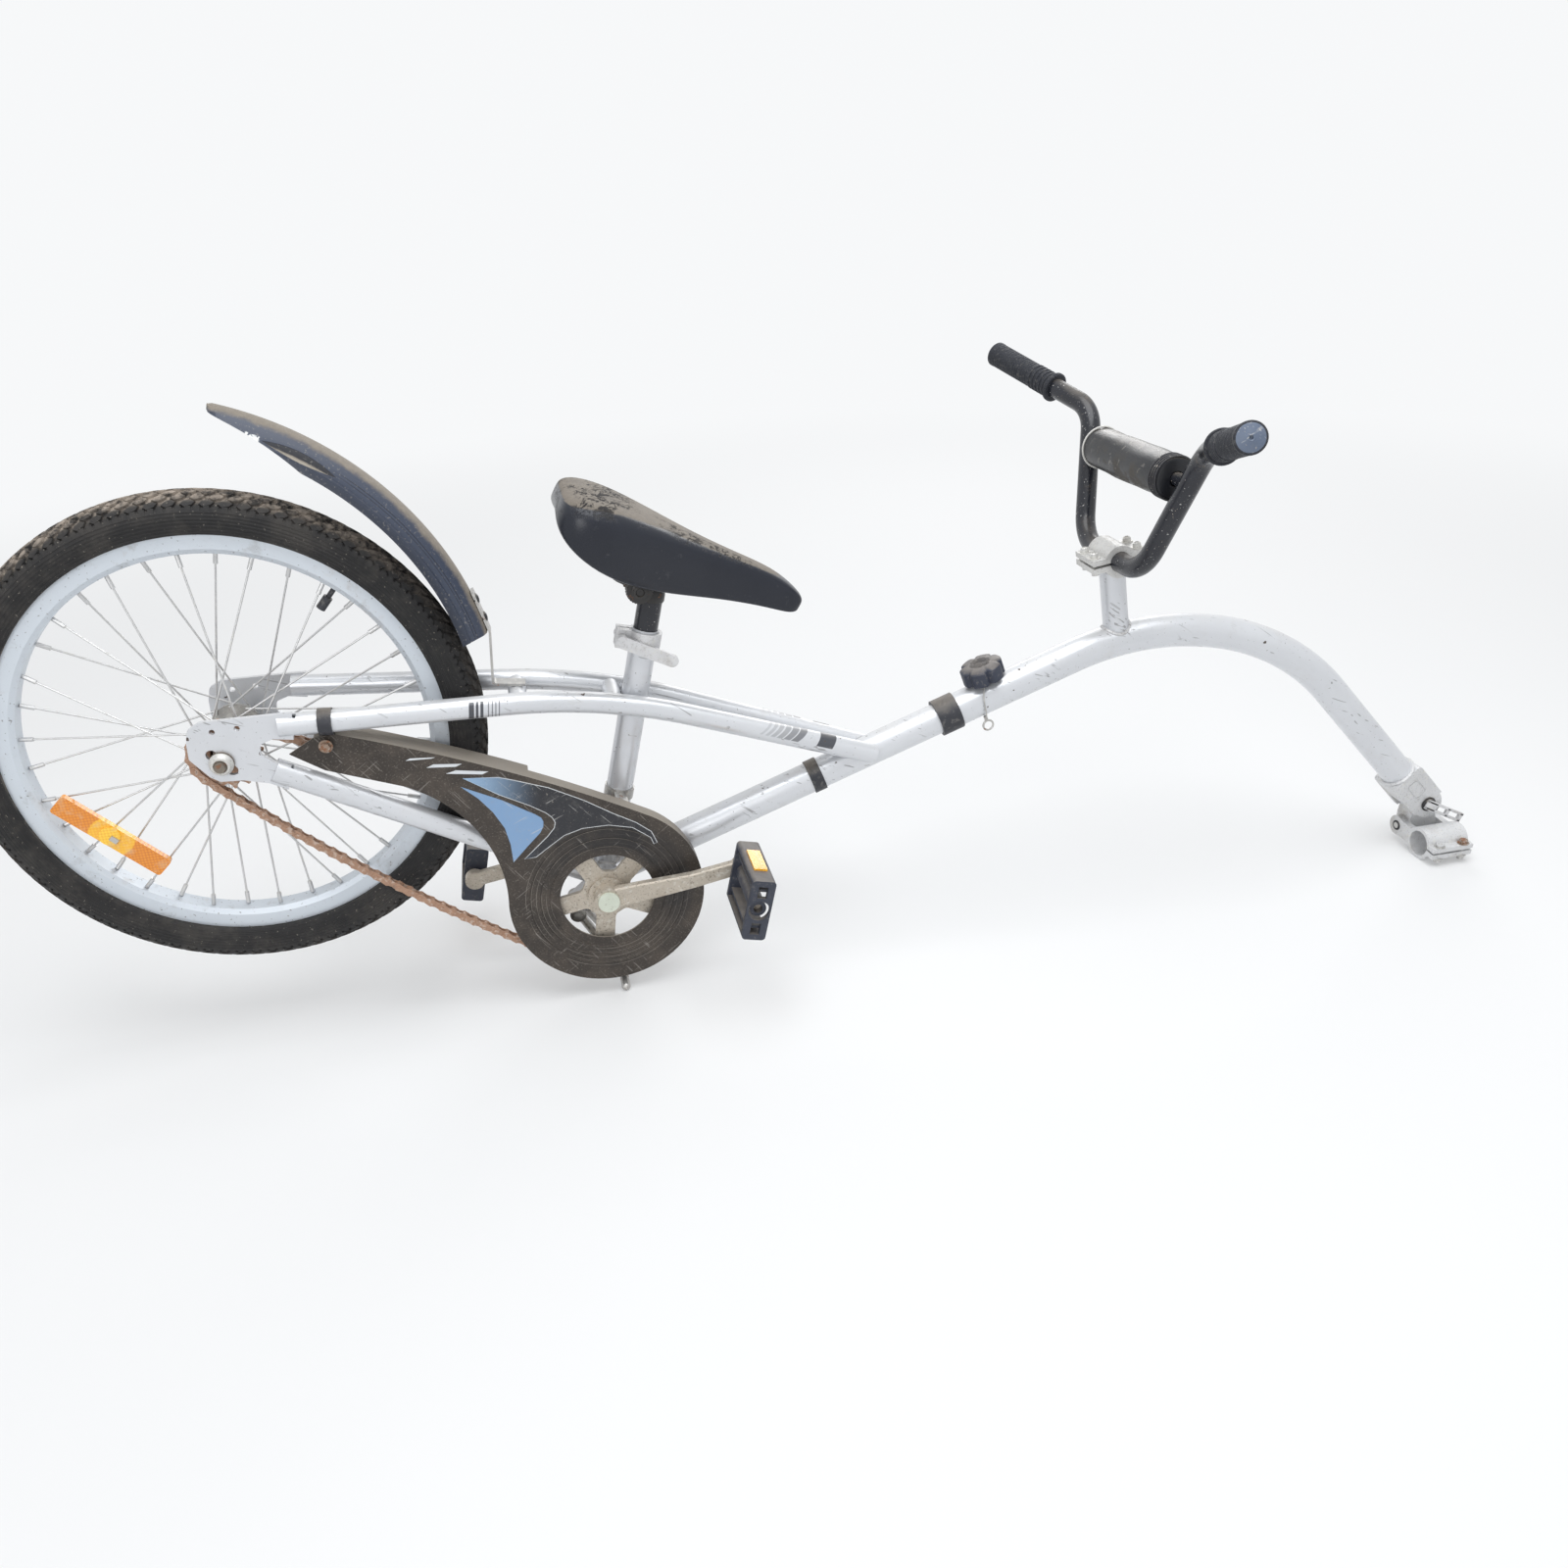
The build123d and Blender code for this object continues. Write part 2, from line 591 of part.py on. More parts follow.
def bar_clamp():
    """The split clamp on the post: two halves, each with ears fore and aft, and its bolts."""
    turn = degrees(atan2(POST_TOP[1] - POST_FOOT[1], POST_TOP[0] - POST_FOOT[0])) - 90.0
    half = CLAMP_LENGTH / 2
    outline = Circle(CLAMP_RADIUS) + Rectangle(2 * CLAMP_EAR, 15.0)
    outline -= Circle(BAR_RADIUS + PIVOT_PLAY)
    outline -= Rectangle(3 * CLAMP_EAR, CLAMP_SPLIT)
    body = slab(outline, -half, half, POST_TOP, turn)
    bolts = []
    for x in (-25.0, 25.0):
        for y in (-12.0, 12.0):
            place = Plane(at(POST_TOP, y), x_dir=Vector(cos(radians(turn)), 0, sin(radians(turn))),
                          z_dir=Vector(-sin(radians(turn)), 0, cos(radians(turn))))
            bolts.append(place * Pos(x, 0, 10.3) * Cylinder(4.2, 5.0))
            bolts.append(place * Pos(x, 0, -9.8) * Cylinder(4.0, 4.0))
            bolts.append(place * Pos(x, 0, 0) * Cylinder(2.2, CLAMP_SPLIT - 0.2))
    return Compound(list(body.solids()) + [solid for bolt in bolts for solid in bolt.solids()])


def bar_point(point):
    """A (forward, left, up) offset from the clamp's middle."""
    return (POST_TOP[0] + point[0], point[1], POST_TOP[1] + point[2])


def handlebar():
    """The bar in one piece, with its cross brace."""
    right = [bar_point((x, -y, z)) for x, y, z in reversed(BAR_POINTS[1:])]
    left = [bar_point(point) for point in BAR_POINTS[1:]]
    bends = [BAR_BENDS[1], BAR_BENDS[0], BAR_BENDS[0], BAR_BENDS[1]]
    bar = bent_tube(right + left, bends, BAR_RADIUS, BAR_RADIUS - BAR_WALL)
    share = CROSSBAR_RISE / BAR_POINTS[2][2]
    place = (POST_TOP[0] + share * BAR_POINTS[2][0], POST_TOP[1] + CROSSBAR_RISE)
    reach = BAR_POINTS[1][1] + share * (BAR_POINTS[2][1] - BAR_POINTS[1][1])
    brace = cross_rod(place, -reach, reach, CROSSBAR_RADIUS)
    hollow = bent_tube(right + left, bends, BAR_RADIUS - BAR_WALL)
    return bar + (brace - hollow)


def crossbar_place():
    share = CROSSBAR_RISE / BAR_POINTS[2][2]
    return (POST_TOP[0] + share * BAR_POINTS[2][0], POST_TOP[1] + CROSSBAR_RISE)


def crossbar_pad():
    """The round foam pad round the cross brace."""
    half = PAD_LENGTH / 2
    return cross_rod(crossbar_place(), -half, half, PAD_RADIUS, CROSSBAR_RADIUS + SEAT_GAP)


def grip():
    """The left grip: a ribbed sleeve with a flange at its inner end and a closed outer end."""
    end = Vector(bar_point(BAR_POINTS[3]))
    knee = Vector(bar_point(BAR_POINTS[2]))
    lean = (end - knee).normalized()
    outer = end + lean * 3.0
    inner = end - lean * (GRIP_LENGTH - 3.0)
    shape = rod(inner, outer, GRIP_RADIUS)
    shape += rod(inner, inner + lean * 5.0, GRIP_FLANGE_RADIUS)
    shape += rod(outer - lean * 5.0, outer, GRIP_RADIUS + 1.2)
    for index in range(5):
        start = inner + lean * (10.0 + 6.0 * index)
        shape += rod(start, start + lean * 2.5, GRIP_RADIUS + 0.9)
    return shape - rod(inner, end + lean * SEAT_GAP, BAR_RADIUS + SEAT_GAP)


# Saddle and seat clamp
def seat_direction():
    return Vector(SEAT_TUBE_TOP[0] - SEAT_TUBE_FOOT[0], 0, SEAT_TUBE_TOP[1] - SEAT_TUBE_FOOT[1]).normalized()


def seat_post():
    top = at(SEAT_TUBE_TOP) + seat_direction() * SEAT_POST_RISE
    return rod(top - seat_direction() * SEAT_POST_LENGTH, top, SEAT_POST_RADIUS, SEAT_POST_RADIUS - 2.0)


def seat_clamp():
    """The collar round the seat tube's top, with its ears, cross bolt and lever."""
    up = seat_direction()
    turn = degrees(atan2(up.Z, up.X)) - 90.0
    centre = (SEAT_TUBE_TOP[0] - 12.0 * up.X, SEAT_TUBE_TOP[1] - 12.0 * up.Z)
    plane = Plane(at(centre), x_dir=Vector(cos(radians(turn)), 0, sin(radians(turn))), z_dir=up)
    collar = Circle(SEAT_TUBE_RADIUS + 3.5) + Pos(-21.0, 0) * Rectangle(17.0, 19.0)
    collar -= Circle(SEAT_TUBE_RADIUS + SEAT_GAP)
    collar -= Pos(-24.0, 0) * Rectangle(22.0, 3.0)
    body = extrude(plane * collar, 10.0, both=True)
    lever_spot = (centre[0] - 24.0 * cos(radians(turn)), centre[1] - 24.0 * sin(radians(turn)))
    body += cross_rod(lever_spot, -17.5, -9.0, 6.5)
    body += cross_rod(lever_spot, 9.0, 14.0, 6.0)
    body += cross_rod(lever_spot, -9.0, 9.0, 2.5)
    lever = SlotOverall(68.0, 13.0)
    body += slab(lever, -22.0, -17.5, (lever_spot[0] + 26.0, lever_spot[1] - 9.5), -20.0)
    return body


def saddle_clamp():
    """The ridged clamp on the post's top that grips the two saddle rails."""
    top = at(SEAT_TUBE_TOP) + seat_direction() * (SEAT_POST_RISE + SEAT_GAP)
    post_cap = rod(top, top + seat_direction() * 8.0, SEAT_POST_RADIUS + 1.0)
    middle = (top.X - 4.0, top.Z + 14.0)
    shape = post_cap + cross_rod(middle, -27.0, 27.0, 12.5) + cross_rod(middle, -31.0, 31.0, 6.0)
    return shape - saddle_wires(RAIL_RADIUS + SEAT_GAP / 2)


def saddle_place(distance, lift):
    """A point of the saddle: how far behind its nose, and how high over its nose line."""
    lean = radians(SADDLE_NOSE_DOWN)
    return (SADDLE_NOSE[0] - distance * cos(lean) + lift * sin(lean),
            SADDLE_NOSE[1] + distance * sin(lean) + lift * cos(lean))


def saddle_wires(radius):
    """The two wire rails under the saddle."""
    made = None
    for y in (-RAIL_Y, RAIL_Y):
        points = [at(saddle_place(*spot), y) for spot in RAIL_POINTS]
        wire = bent_tube(points, [12.0, 12.0], radius)
        made = wire if made is None else made + wire
    return made


def saddle_rails():
    wires = saddle_wires(RAIL_RADIUS) - Pos(0, 0, -SEAT_GAP) * saddle()
    keep = [solid for solid in wires.solids() if solid.volume > 500.0]
    return Compound(keep)


def saddle():
    """The padded saddle: rounded sections from nose to tail, flat underneath."""
    tilt = Rot(0, SADDLE_NOSE_DOWN, 0)
    sections = []
    for distance, half, depth, lift in SADDLE_STATIONS:
        plane = Plane(origin=(-distance, 0, lift), x_dir=(0, 1, 0), z_dir=(-1, 0, 0))
        edge = Polyline((-half, depth * 0.62), (-half * 0.97, depth))
        crown = ThreePointArc((half, depth * 0.62), (0, 0), (-half, depth * 0.62))
        far_edge = Polyline((half * 0.97, depth), (half, depth * 0.62))
        base = Polyline((-half * 0.97, depth), (half * 0.97, depth))
        sections.append(plane * make_face([crown, edge, base, far_edge]))
    body = loft(sections, ruled=True)
    return Pos(SADDLE_NOSE[0], 0, SADDLE_NOSE[1]) * tilt * body


# Mudguard, straps and chain guard
def mudguard():
    """A creased blade swept round its own centre, with a flared tail."""
    half = MUDGUARD_HALF
    drop = MUDGUARD_DROP
    ridge = MUDGUARD_RADIUS
    outer = [(0.0, 0.0), (9.0, 0.6), (19.0, 9.0), (half, drop)]
    wall = MUDGUARD_WALL
    inner = [(half - wall, drop), (17.0, 9.0 + wall), (8.0, wall), (0.0, wall)]
    points = [(-y, ridge - h) for y, h in reversed(outer)] + [(y, ridge - h) for y, h in outer[1:]]
    points += [(y, ridge - h) for y, h in inner] + [(-y, ridge - h) for y, h in reversed(inner[:-1])]
    section = make_face(Polyline(*points, close=True))
    sweep_angle = MUDGUARD_END - MUDGUARD_START
    blade = revolve(Plane.YZ * section, Axis.Y, sweep_angle)
    turned = Rot(0, 90.0 - MUDGUARD_END, 0) * blade
    return Pos(MUDGUARD_CENTRE[0], 0, MUDGUARD_CENTRE[1]) * turned


def strap(centre, turn, width, radius, y):
    """A thin band round a tube."""
    lean = Vector(cos(radians(turn)), 0, sin(radians(turn)))
    middle = at(centre, y)
    return rod(middle - lean * (width / 2), middle + lean * (width / 2), radius + 1.6, radius + SEAT_GAP)


def guard_outline():
    """The guard's side-view outline: a long arm from the rear that runs into the round disc."""
    centre = Vector(BB[0], BB[1])
    radius = GUARD_RADIUS
    upper = radians(66.0)
    lower = radians(181.0)
    join_top = centre + Vector(radius * cos(upper), radius * sin(upper))
    join_low = centre + Vector(radius * cos(lower), radius * sin(lower))
    bottom = centre + Vector(0, -radius)
    top = ThreePointArc((join_top.X, join_top.Y), (262.0, -12.0), (104.0, 27.0))
    tail = Polyline((104.0, 27.0), (84.0, 24.0), (60.0, 6.0), (92.0, -11.0), (165.0, -29.0))
    sweep_low = ThreePointArc((165.0, -29.0), (235.0, -78.0), (join_low.X, join_low.Y))
    disc = ThreePointArc((join_low.X, join_low.Y), (bottom.X, bottom.Y), (centre.X + radius, centre.Y))
    front = ThreePointArc(
        (centre.X + radius, centre.Y),
        (centre.X + radius * cos(upper / 2), centre.Y + radius * sin(upper / 2)),
        (join_top.X, join_top.Y),
    )
    return make_face([top, tail, sweep_low, disc, front])


def chain_guard():
    """The moulded guard: a face with its round opening and grooves, and a rim behind it."""
    face = guard_outline()
    shell = slab(face, GUARD_FACE, GUARD_FACE + GUARD_DEPTH)
    inside = offset(face, -GUARD_WALL)
    shell -= slab(inside, GUARD_FACE + GUARD_WALL, GUARD_FACE + GUARD_DEPTH + 1.0)
    arm_rim = slab(face, GUARD_FACE + GUARD_DEPTH, GUARD_FACE + GUARD_ARM_DEPTH)
    arm_rim -= slab(inside, GUARD_FACE, GUARD_FACE + GUARD_ARM_DEPTH + 1.0)
    arm_rim &= slab(Rectangle(190.0, 90.0), -60.0, 0.0, (205.0, 40.0), -14.0)
    shell += arm_rim
    shell -= cross_rod(BB, GUARD_FACE - 5.0, GUARD_FACE + 20.0, GUARD_HOLE)
    for radius in GUARD_GROOVES:
        ring = Circle(radius + GUARD_GROOVE) - Circle(radius)
        shell -= slab(ring, GUARD_FACE - 1.0, GUARD_FACE + 0.7, BB)
    behind = GUARD_FACE + GUARD_WALL
    shell -= slab(Rectangle(*GUARD_EXIT_SIZE), behind, 0.0, GUARD_EXIT)
    shell -= slab(Rectangle(60.0, 90.0), behind, 0.0, (GUARD_TAIL_OPEN - 30.0, 10.0))
    return shell.solids().sort_by(SortBy.VOLUME)[-1]


def guard_bracket():
    """A band round the seat tube with a tab that lies under the guard's top edge."""
    height = GUARD_TAB_HEIGHT
    share = (height - SEAT_TUBE_FOOT[1]) / (SEAT_TUBE_TOP[1] - SEAT_TUBE_FOOT[1])
    spot = (SEAT_TUBE_FOOT[0] + share * (SEAT_TUBE_TOP[0] - SEAT_TUBE_FOOT[0]), height)
    face = guard_outline()
    tab = offset(face, -GUARD_WALL - SEAT_GAP) - offset(face, -GUARD_WALL - SEAT_GAP - 2.0)
    tab &= Pos(spot[0], height) * Rectangle(14.0, 30.0)
    shape = slab(tab, GUARD_FACE + 9.0, -SEAT_TUBE_RADIUS - 1.0)
    turn = degrees(atan2(seat_direction().Z, seat_direction().X))
    shape += strap(spot, turn, 12.0, SEAT_TUBE_RADIUS, 0.0)
    return shape


def guard_strap():
    """The band round the right upper stay that carries the guard's tail."""
    share = (GUARD_STRAP_X - STAY_REAR[0]) / (STAY_CROWN[0] - STAY_REAR[0])
    height = STAY_REAR[1] + share * (STAY_CROWN[1] - STAY_REAR[1])
    reach = STAY_REAR[2] + share * (STAY_CROWN[2] - STAY_REAR[2])
    turn = degrees(atan2(STAY_CROWN[1] - STAY_REAR[1], STAY_CROWN[0] - STAY_REAR[0]))
    return strap((GUARD_STRAP_X, height), turn, 13.0, STAY_RADIUS + 0.6, -reach)


def frame_strap():
    """The black band round the main tube."""
    return strap(main_line(FRAME_STRAP_X), MAIN_ANGLE, 14.0, MAIN_RADIUS, 0.0)


def mudguard_bracket():
    """The bent strip from the mudguard's front end down to the rear bridge."""
    bridge = BRIDGE_PLACES[0]
    level_z = bridge[1] + BRIDGE_RADIUS + SEAT_GAP + 1.25
    out = MUDGUARD_RADIUS + SEAT_GAP + 1.25
    crown = []
    for angle in (27.0, MUDGUARD_START):
        crown.append((
            MUDGUARD_CENTRE[0] + out * cos(radians(angle)) + 0.6,
            MUDGUARD_CENTRE[1] + out * sin(radians(angle)),
        ))
    low = (crown[1][0] + 3.0, level_z)
    route = FilletPolyline(crown[0], crown[1], low, (bridge[0] + 8.0, level_z), radius=[9.0, 4.0])
    return slab(trace(route, 2.5), -8.0, 8.0)


def chain_path():
    """Centres of the chain's pins, a pitch apart, round both sprockets with a slack lower run."""
    distance = hypot(*BB)
    tilt = atan2(BB[1], BB[0])
    small = SPROCKET_PITCH_RADIUS
    large = RING_PITCH_RADIUS
    upper = tilt + asin((large - small) / distance) + pi / 2
    start = (small * cos(upper), small * sin(upper))
    top = (BB[0] + large * cos(upper), BB[1] + large * sin(upper))
    straight = hypot(top[0] - start[0], top[1] - start[1])

    def route(sag_radius):
        """Pieces of the route for one radius of the slack run, with their lengths."""
        a = sag_radius - small
        b = sag_radius - large
        corner = acos((a * a + distance * distance - b * b) / (2 * a * distance))
        sag = (a * cos(tilt + corner), a * sin(tilt + corner))
        leave = atan2(BB[1] - sag[1], BB[0] - sag[0])
        arrive = atan2(-sag[1], -sag[0])
        ring_turn = (upper - leave) % (2 * pi)
        slack_turn = (leave - arrive) % (2 * pi)
        small_turn = (arrive - upper) % (2 * pi)
        pieces = [
            ("line", start, top, straight),
            ("arc", BB, large, upper, -ring_turn, large * ring_turn),
            ("arc", sag, sag_radius, leave, -slack_turn, sag_radius * slack_turn),
            ("arc", (0.0, 0.0), small, arrive, -small_turn, small * small_turn),
        ]
        return pieces, sum(piece[-1] for piece in pieces)

    loose, tight = 400.0, 60000.0
    for _ in range(60):
        middle = sqrt(loose * tight)
        if route(middle)[1] > CHAIN_LINKS * PITCH:
            loose = middle
        else:
            tight = middle
    pieces, total = route(middle)
    step = total / CHAIN_LINKS
    pins = []
    for index in range(CHAIN_LINKS):
        run = index * step
        for number, piece in enumerate(pieces):
            if run <= piece[-1] or number == 3:
                break
            run -= piece[-1]
        if piece[0] == "line":
            share = run / piece[-1]
            pins.append((start[0] + share * (top[0] - start[0]), start[1] + share * (top[1] - start[1]), 1))
        else:
            _, centre, radius, first, turn, length = piece
            angle = first + turn * run / length
            pins.append((centre[0] + radius * cos(angle), centre[1] + radius * sin(angle), int(number == 2)))
    return pins


def chain():
    """Inner and outer plates by turns; square pins join the two sides along the free runs."""
    pins = chain_path()
    parts = []
    half = PITCH / 2
    tall = PLATE_HEIGHT / 2
    inner = [(-half - 3, tall * 0.9), (half + 3, tall * 0.9), (half + 3, -tall * 0.9), (-half - 3, -tall * 0.9)]
    outer = [(-half - 4.2, 0), (-half - 1, tall), (half + 1, tall), (half + 4.2, 0), (half + 1, -tall), (-half - 1, -tall)]
    for index, (x, z, free) in enumerate(pins):
        next_x, next_z, next_free = pins[(index + 1) % len(pins)]
        middle = ((x + next_x) / 2, (z + next_z) / 2)
        turn = degrees(atan2(next_z - z, next_x - x))
        low = INNER_GAP / 2 + (index % 2) * PLATE_THICKNESS
        outline = make_face(Polyline(*(outer if index % 2 else inner), close=True))
        for side in (-1, 1):
            near, far = sorted((CHAIN_LINE + side * low, CHAIN_LINE + side * (low + PLATE_THICKNESS)))
            parts.append(slab(outline, near, far, middle, turn))
        clear = hypot(x, z) > SPROCKET_PITCH_RADIUS + 12 and hypot(x - BB[0], z - BB[1]) > RING_PITCH_RADIUS + 12
        if free and clear:
            parts.append(slab(Rectangle(4.4, 4.4), CHAIN_LINE - INNER_GAP / 2, CHAIN_LINE + INNER_GAP / 2, (x, z), turn))
    return parts[0].fuse(*parts[1:])


# Cranks and pedals
def crank_end(side):
    """Where a crank's pedal pin is: the right one points forward, the left one back."""
    angle = radians(CRANK_ANGLE if side < 0 else CRANK_ANGLE + 180.0)
    return (BB[0] + CRANK_LENGTH * cos(angle), BB[1] + CRANK_LENGTH * sin(angle))


def crank(side):
    """A tapered arm that steps outwards between its boss and its pedal eye."""
    end = crank_end(side)
    turn = CRANK_ANGLE if side < 0 else CRANK_ANGLE + 180.0
    root_y = CRANK_ROOT_Y
    tip_y = CRANK_TIP_Y
    boss = slab(Circle(CRANK_ROOT_RADIUS), *sorted((side * (root_y - 4.0), side * (root_y + CRANK_THICKNESS))), BB)
    eye = slab(Circle(CRANK_TIP_RADIUS), *sorted((side * tip_y, side * (tip_y + CRANK_THICKNESS))), end)
    stations = []
    bow = CRANK_BOW
    rows = (
        # distance from the spindle, inner face, half width
        (4.0, root_y, 12.0),
        (CAP_RADIUS + 4.0, root_y, 11.7),
        (42.0, root_y + bow, 11.0),
        (92.0, tip_y - 1.0, 8.7),
        (CRANK_LENGTH - 3.0, tip_y, 8.2),
    )
    for distance, low, half in rows:
        spot = along(BB, end, distance)
        x_dir = Vector(-sin(radians(turn)), 0, cos(radians(turn)))
        plane = Plane(at(spot, side * (low + CRANK_THICKNESS / 2)), x_dir=x_dir, z_dir=at(end) - at(BB))
        stations.append(plane * RectangleRounded(2 * half, CRANK_THICKNESS, 2.5))
    arm = loft(stations, ruled=True)
    return boss + arm + eye


def crank_right():
    """The right crank with its cap and the pedal pin."""
    shape = crank(-1)
    end = crank_end(-1)
    face = -(CRANK_TIP_Y + CRANK_THICKNESS)
    shape += cross_rod(end, face - PEDAL_START - PEDAL_WIDTH + 12.0, face, PEDAL_PIN_RADIUS)
    return shape


def crank_left():
    shape = crank(1)
    end = crank_end(1)
    face = CRANK_TIP_Y + CRANK_THICKNESS
    shape += cross_rod(end, face, face + PEDAL_START + PEDAL_WIDTH - 12.0, PEDAL_PIN_RADIUS)
    return shape


def crank_caps():
    """Round plastic caps over both spindle bolts."""
    face = CRANK_ROOT_Y + CRANK_THICKNESS
    right = cross_rod(BB, -face - CAP_HEIGHT, -face, CAP_RADIUS)
    left = cross_rod(BB, face, face + CAP_HEIGHT, CAP_RADIUS)
    return Compound(list(right.solids()) + list(left.solids()))


def spindle():
    reach = CRANK_ROOT_Y - 4.0
    return cross_rod(BB, -reach, reach, SPINDLE_RADIUS)


def chainring():
    """The toothed ring on its five-armed spider."""
    disc = toothed_disc(RING_TEETH, RING_PITCH_RADIUS, TOOTH_DISC, RING_PITCH_RADIUS - RING_BAND)
    reach = RING_PITCH_RADIUS - RING_BAND + 4.0
    spider = Circle(SPIDER_HUB_RADIUS)
    for index in range(SPIDER_ARMS):
        turn = CRANK_ANGLE + 360.0 / SPIDER_ARMS * (index + 0.5)
        spider += Rot(0, 0, turn) * Pos(reach / 2, 0) * Rectangle(reach, SPIDER_ARM_WIDTH)
    corners = [v for v in spider.vertices() if hypot(v.X, v.Y) < SPIDER_HUB_RADIUS + 6.0]
    spider = fillet(corners, 7.0)
    spider -= Circle(SPINDLE_RADIUS)
    low = CHAIN_LINE - TOOTH_DISC / 2 - SPIDER_THICKNESS
    body = slab(spider, low, CHAIN_LINE - TOOTH_DISC / 2)
    boss = Circle(CRANK_ROOT_RADIUS + 6.0) - Circle(SPINDLE_RADIUS)
    body += slab(boss, -CRANK_ROOT_Y + 4.0, low)
    placed = body + disc
    return Pos(BB[0], 0, BB[1]) * placed


def pedal(side):
    """A platform pedal: two treads and two side plates round the pin's sleeve."""
    end = crank_end(side)
    face = CRANK_TIP_Y + CRANK_THICKNESS + PEDAL_START
    low, high = sorted((side * face, side * (face + PEDAL_WIDTH)))
    tread = RectangleRounded(PEDAL_DEPTH, PEDAL_THICKNESS, 4.0)
    sleeve = Circle(PEDAL_TUBE_RADIUS)
    hollow = RectangleRounded(PEDAL_DEPTH - 2 * PEDAL_WALL, PEDAL_THICKNESS + 10.0, 2.0)
    body = slab(tread, low, high, end, PEDAL_LEAN)
    body -= slab(hollow, low + PEDAL_WALL, high - PEDAL_WALL, end, PEDAL_LEAN)
    body += slab(sleeve, low, high, end, PEDAL_LEAN)
    for spot in (-21.0, 21.0):
        centre = (end[0] + spot * cos(radians(PEDAL_LEAN)), end[1] + spot * sin(radians(PEDAL_LEAN)))
        rib = Rectangle(3.0, PEDAL_THICKNESS - 5.0)
        body += slab(rib, low + 1.0, high - 1.0, centre, PEDAL_LEAN)
        body -= slab(Rectangle(13.0, 10.0), low - 1.0, high + 1.0, centre, PEDAL_LEAN) & slab(
            Rectangle(200.0, 200.0), *sorted((side * (face + PEDAL_WIDTH - PEDAL_WALL), side * (face + PEDAL_WIDTH + 1.0))), end
        )
    body -= cross_rod(end, low - 1.0, high + 1.0, PEDAL_PIN_RADIUS + PIVOT_PLAY)
    window = Circle(PEDAL_TUBE_RADIUS + 2.5)
    body -= slab(window, *sorted((side * (face + PEDAL_WIDTH - PEDAL_WALL), side * (face + PEDAL_WIDTH + 1.0))), end)
    return body


def pedal_reflectors(side):
    """Amber bars let into the two narrow edges of a pedal."""
    end = crank_end(side)
    middle = side * (CRANK_TIP_Y + CRANK_THICKNESS + PEDAL_START + PEDAL_WIDTH / 2)
    bars = []
    for spot in (-1, 1):
        reach = spot * (PEDAL_DEPTH / 2 + 1.0)
        centre = (end[0] + reach * cos(radians(PEDAL_LEAN)), end[1] + reach * sin(radians(PEDAL_LEAN)))
        bars.append(slab(Rectangle(2.0, 14.0), middle - 21.0, middle + 21.0, centre, PEDAL_LEAN))
    return Compound([solid for bar in bars for solid in bar.solids()])


# Centre stand
def floor_height(x):
    """Height of the floor under the parked bike, in the bike frame."""
    lean = radians(PARK_PITCH)
    drop = PIN_DROP + BORE_OFFSET * -sin(radians(BORE_SWING + 90.0)) + BORE_RADIUS + BORE_WALL
    under = (HITCH[0] + drop * sin(lean), HITCH[1] - drop * cos(lean))
    return under[1] - (under[0] - x) * tan(lean)


def stand_bracket():
    """The plate under the bottom bracket that carries the stand's pivot."""
    outline = make_face(Polyline(
        (BB[0] - 18.0, BB[1] - 10.0), (BB[0] + 12.0, BB[1] - 17.0), (STAND_PIVOT[0] + 14.0, STAND_PIVOT[1] - 4.0),
        (STAND_PIVOT[0] - 12.0, STAND_PIVOT[1] + 6.0), close=True))
    plate = slab(outline, -9.0, 9.0)
    plate -= cross_rod(BB, -BB_WIDTH, BB_WIDTH, BB_RADIUS + SEAT_GAP)
    plate += cross_rod(STAND_PIVOT, -9.0, 9.0, STAND_BARREL_RADIUS)
    return plate - cross_rod(STAND_PIVOT, -30.0, 30.0, 5.0 + PIVOT_PLAY)


def centre_stand():
    """Two splayed legs on one pivot pin, their feet turned outwards."""
    foot_z = floor_height(STAND_FOOT_X) + STAND_ROD_RADIUS / cos(radians(PARK_PITCH))
    pin = cross_rod(STAND_PIVOT, -27.0, 27.0, 5.0)
    shape = pin
    for side in (-1, 1):
        points = [
            (STAND_PIVOT[0], side * 16.0, STAND_PIVOT[1]),
            (STAND_FOOT_X - 2.0, side * STAND_KNEE_Y, foot_z + STAND_KNEE_RISE),
            (STAND_FOOT_X, side * STAND_FOOT_Y, foot_z),
        ]
        leg = bent_tube(points, 8.0, STAND_ROD_RADIUS)
        shape += leg
        low, high = sorted((side * (9.0 + PIVOT_PLAY), side * 23.0))
        shape += cross_rod(STAND_PIVOT, low, high, STAND_BARREL_RADIUS)
        shape += Pos(STAND_FOOT_X, side * STAND_FOOT_Y, foot_z) * Sphere(STAND_ROD_RADIUS)
    return shape


# Hitch
def hitch_plane(x=0.0, y=0.0, z=0.0):
    """A place in the hitch's own frame: its X lies level when the bike is parked."""
    lean = radians(PARK_PITCH)
    origin = Vector(HITCH[0] + x * cos(lean) - z * sin(lean), y, HITCH[1] + x * sin(lean) + z * cos(lean))
    return Plane(origin, x_dir=(cos(lean), 0, sin(lean)), z_dir=(-sin(lean), 0, cos(lean)))


def hitch_fork_slot():
    """The space between the fork's cheeks."""
    half = FORK_SLOT / 2
    return slab(Pos(10.0, 0) * Rectangle(68.0, 80.0), -half, half, HITCH, BOOM_END_ANGLE)


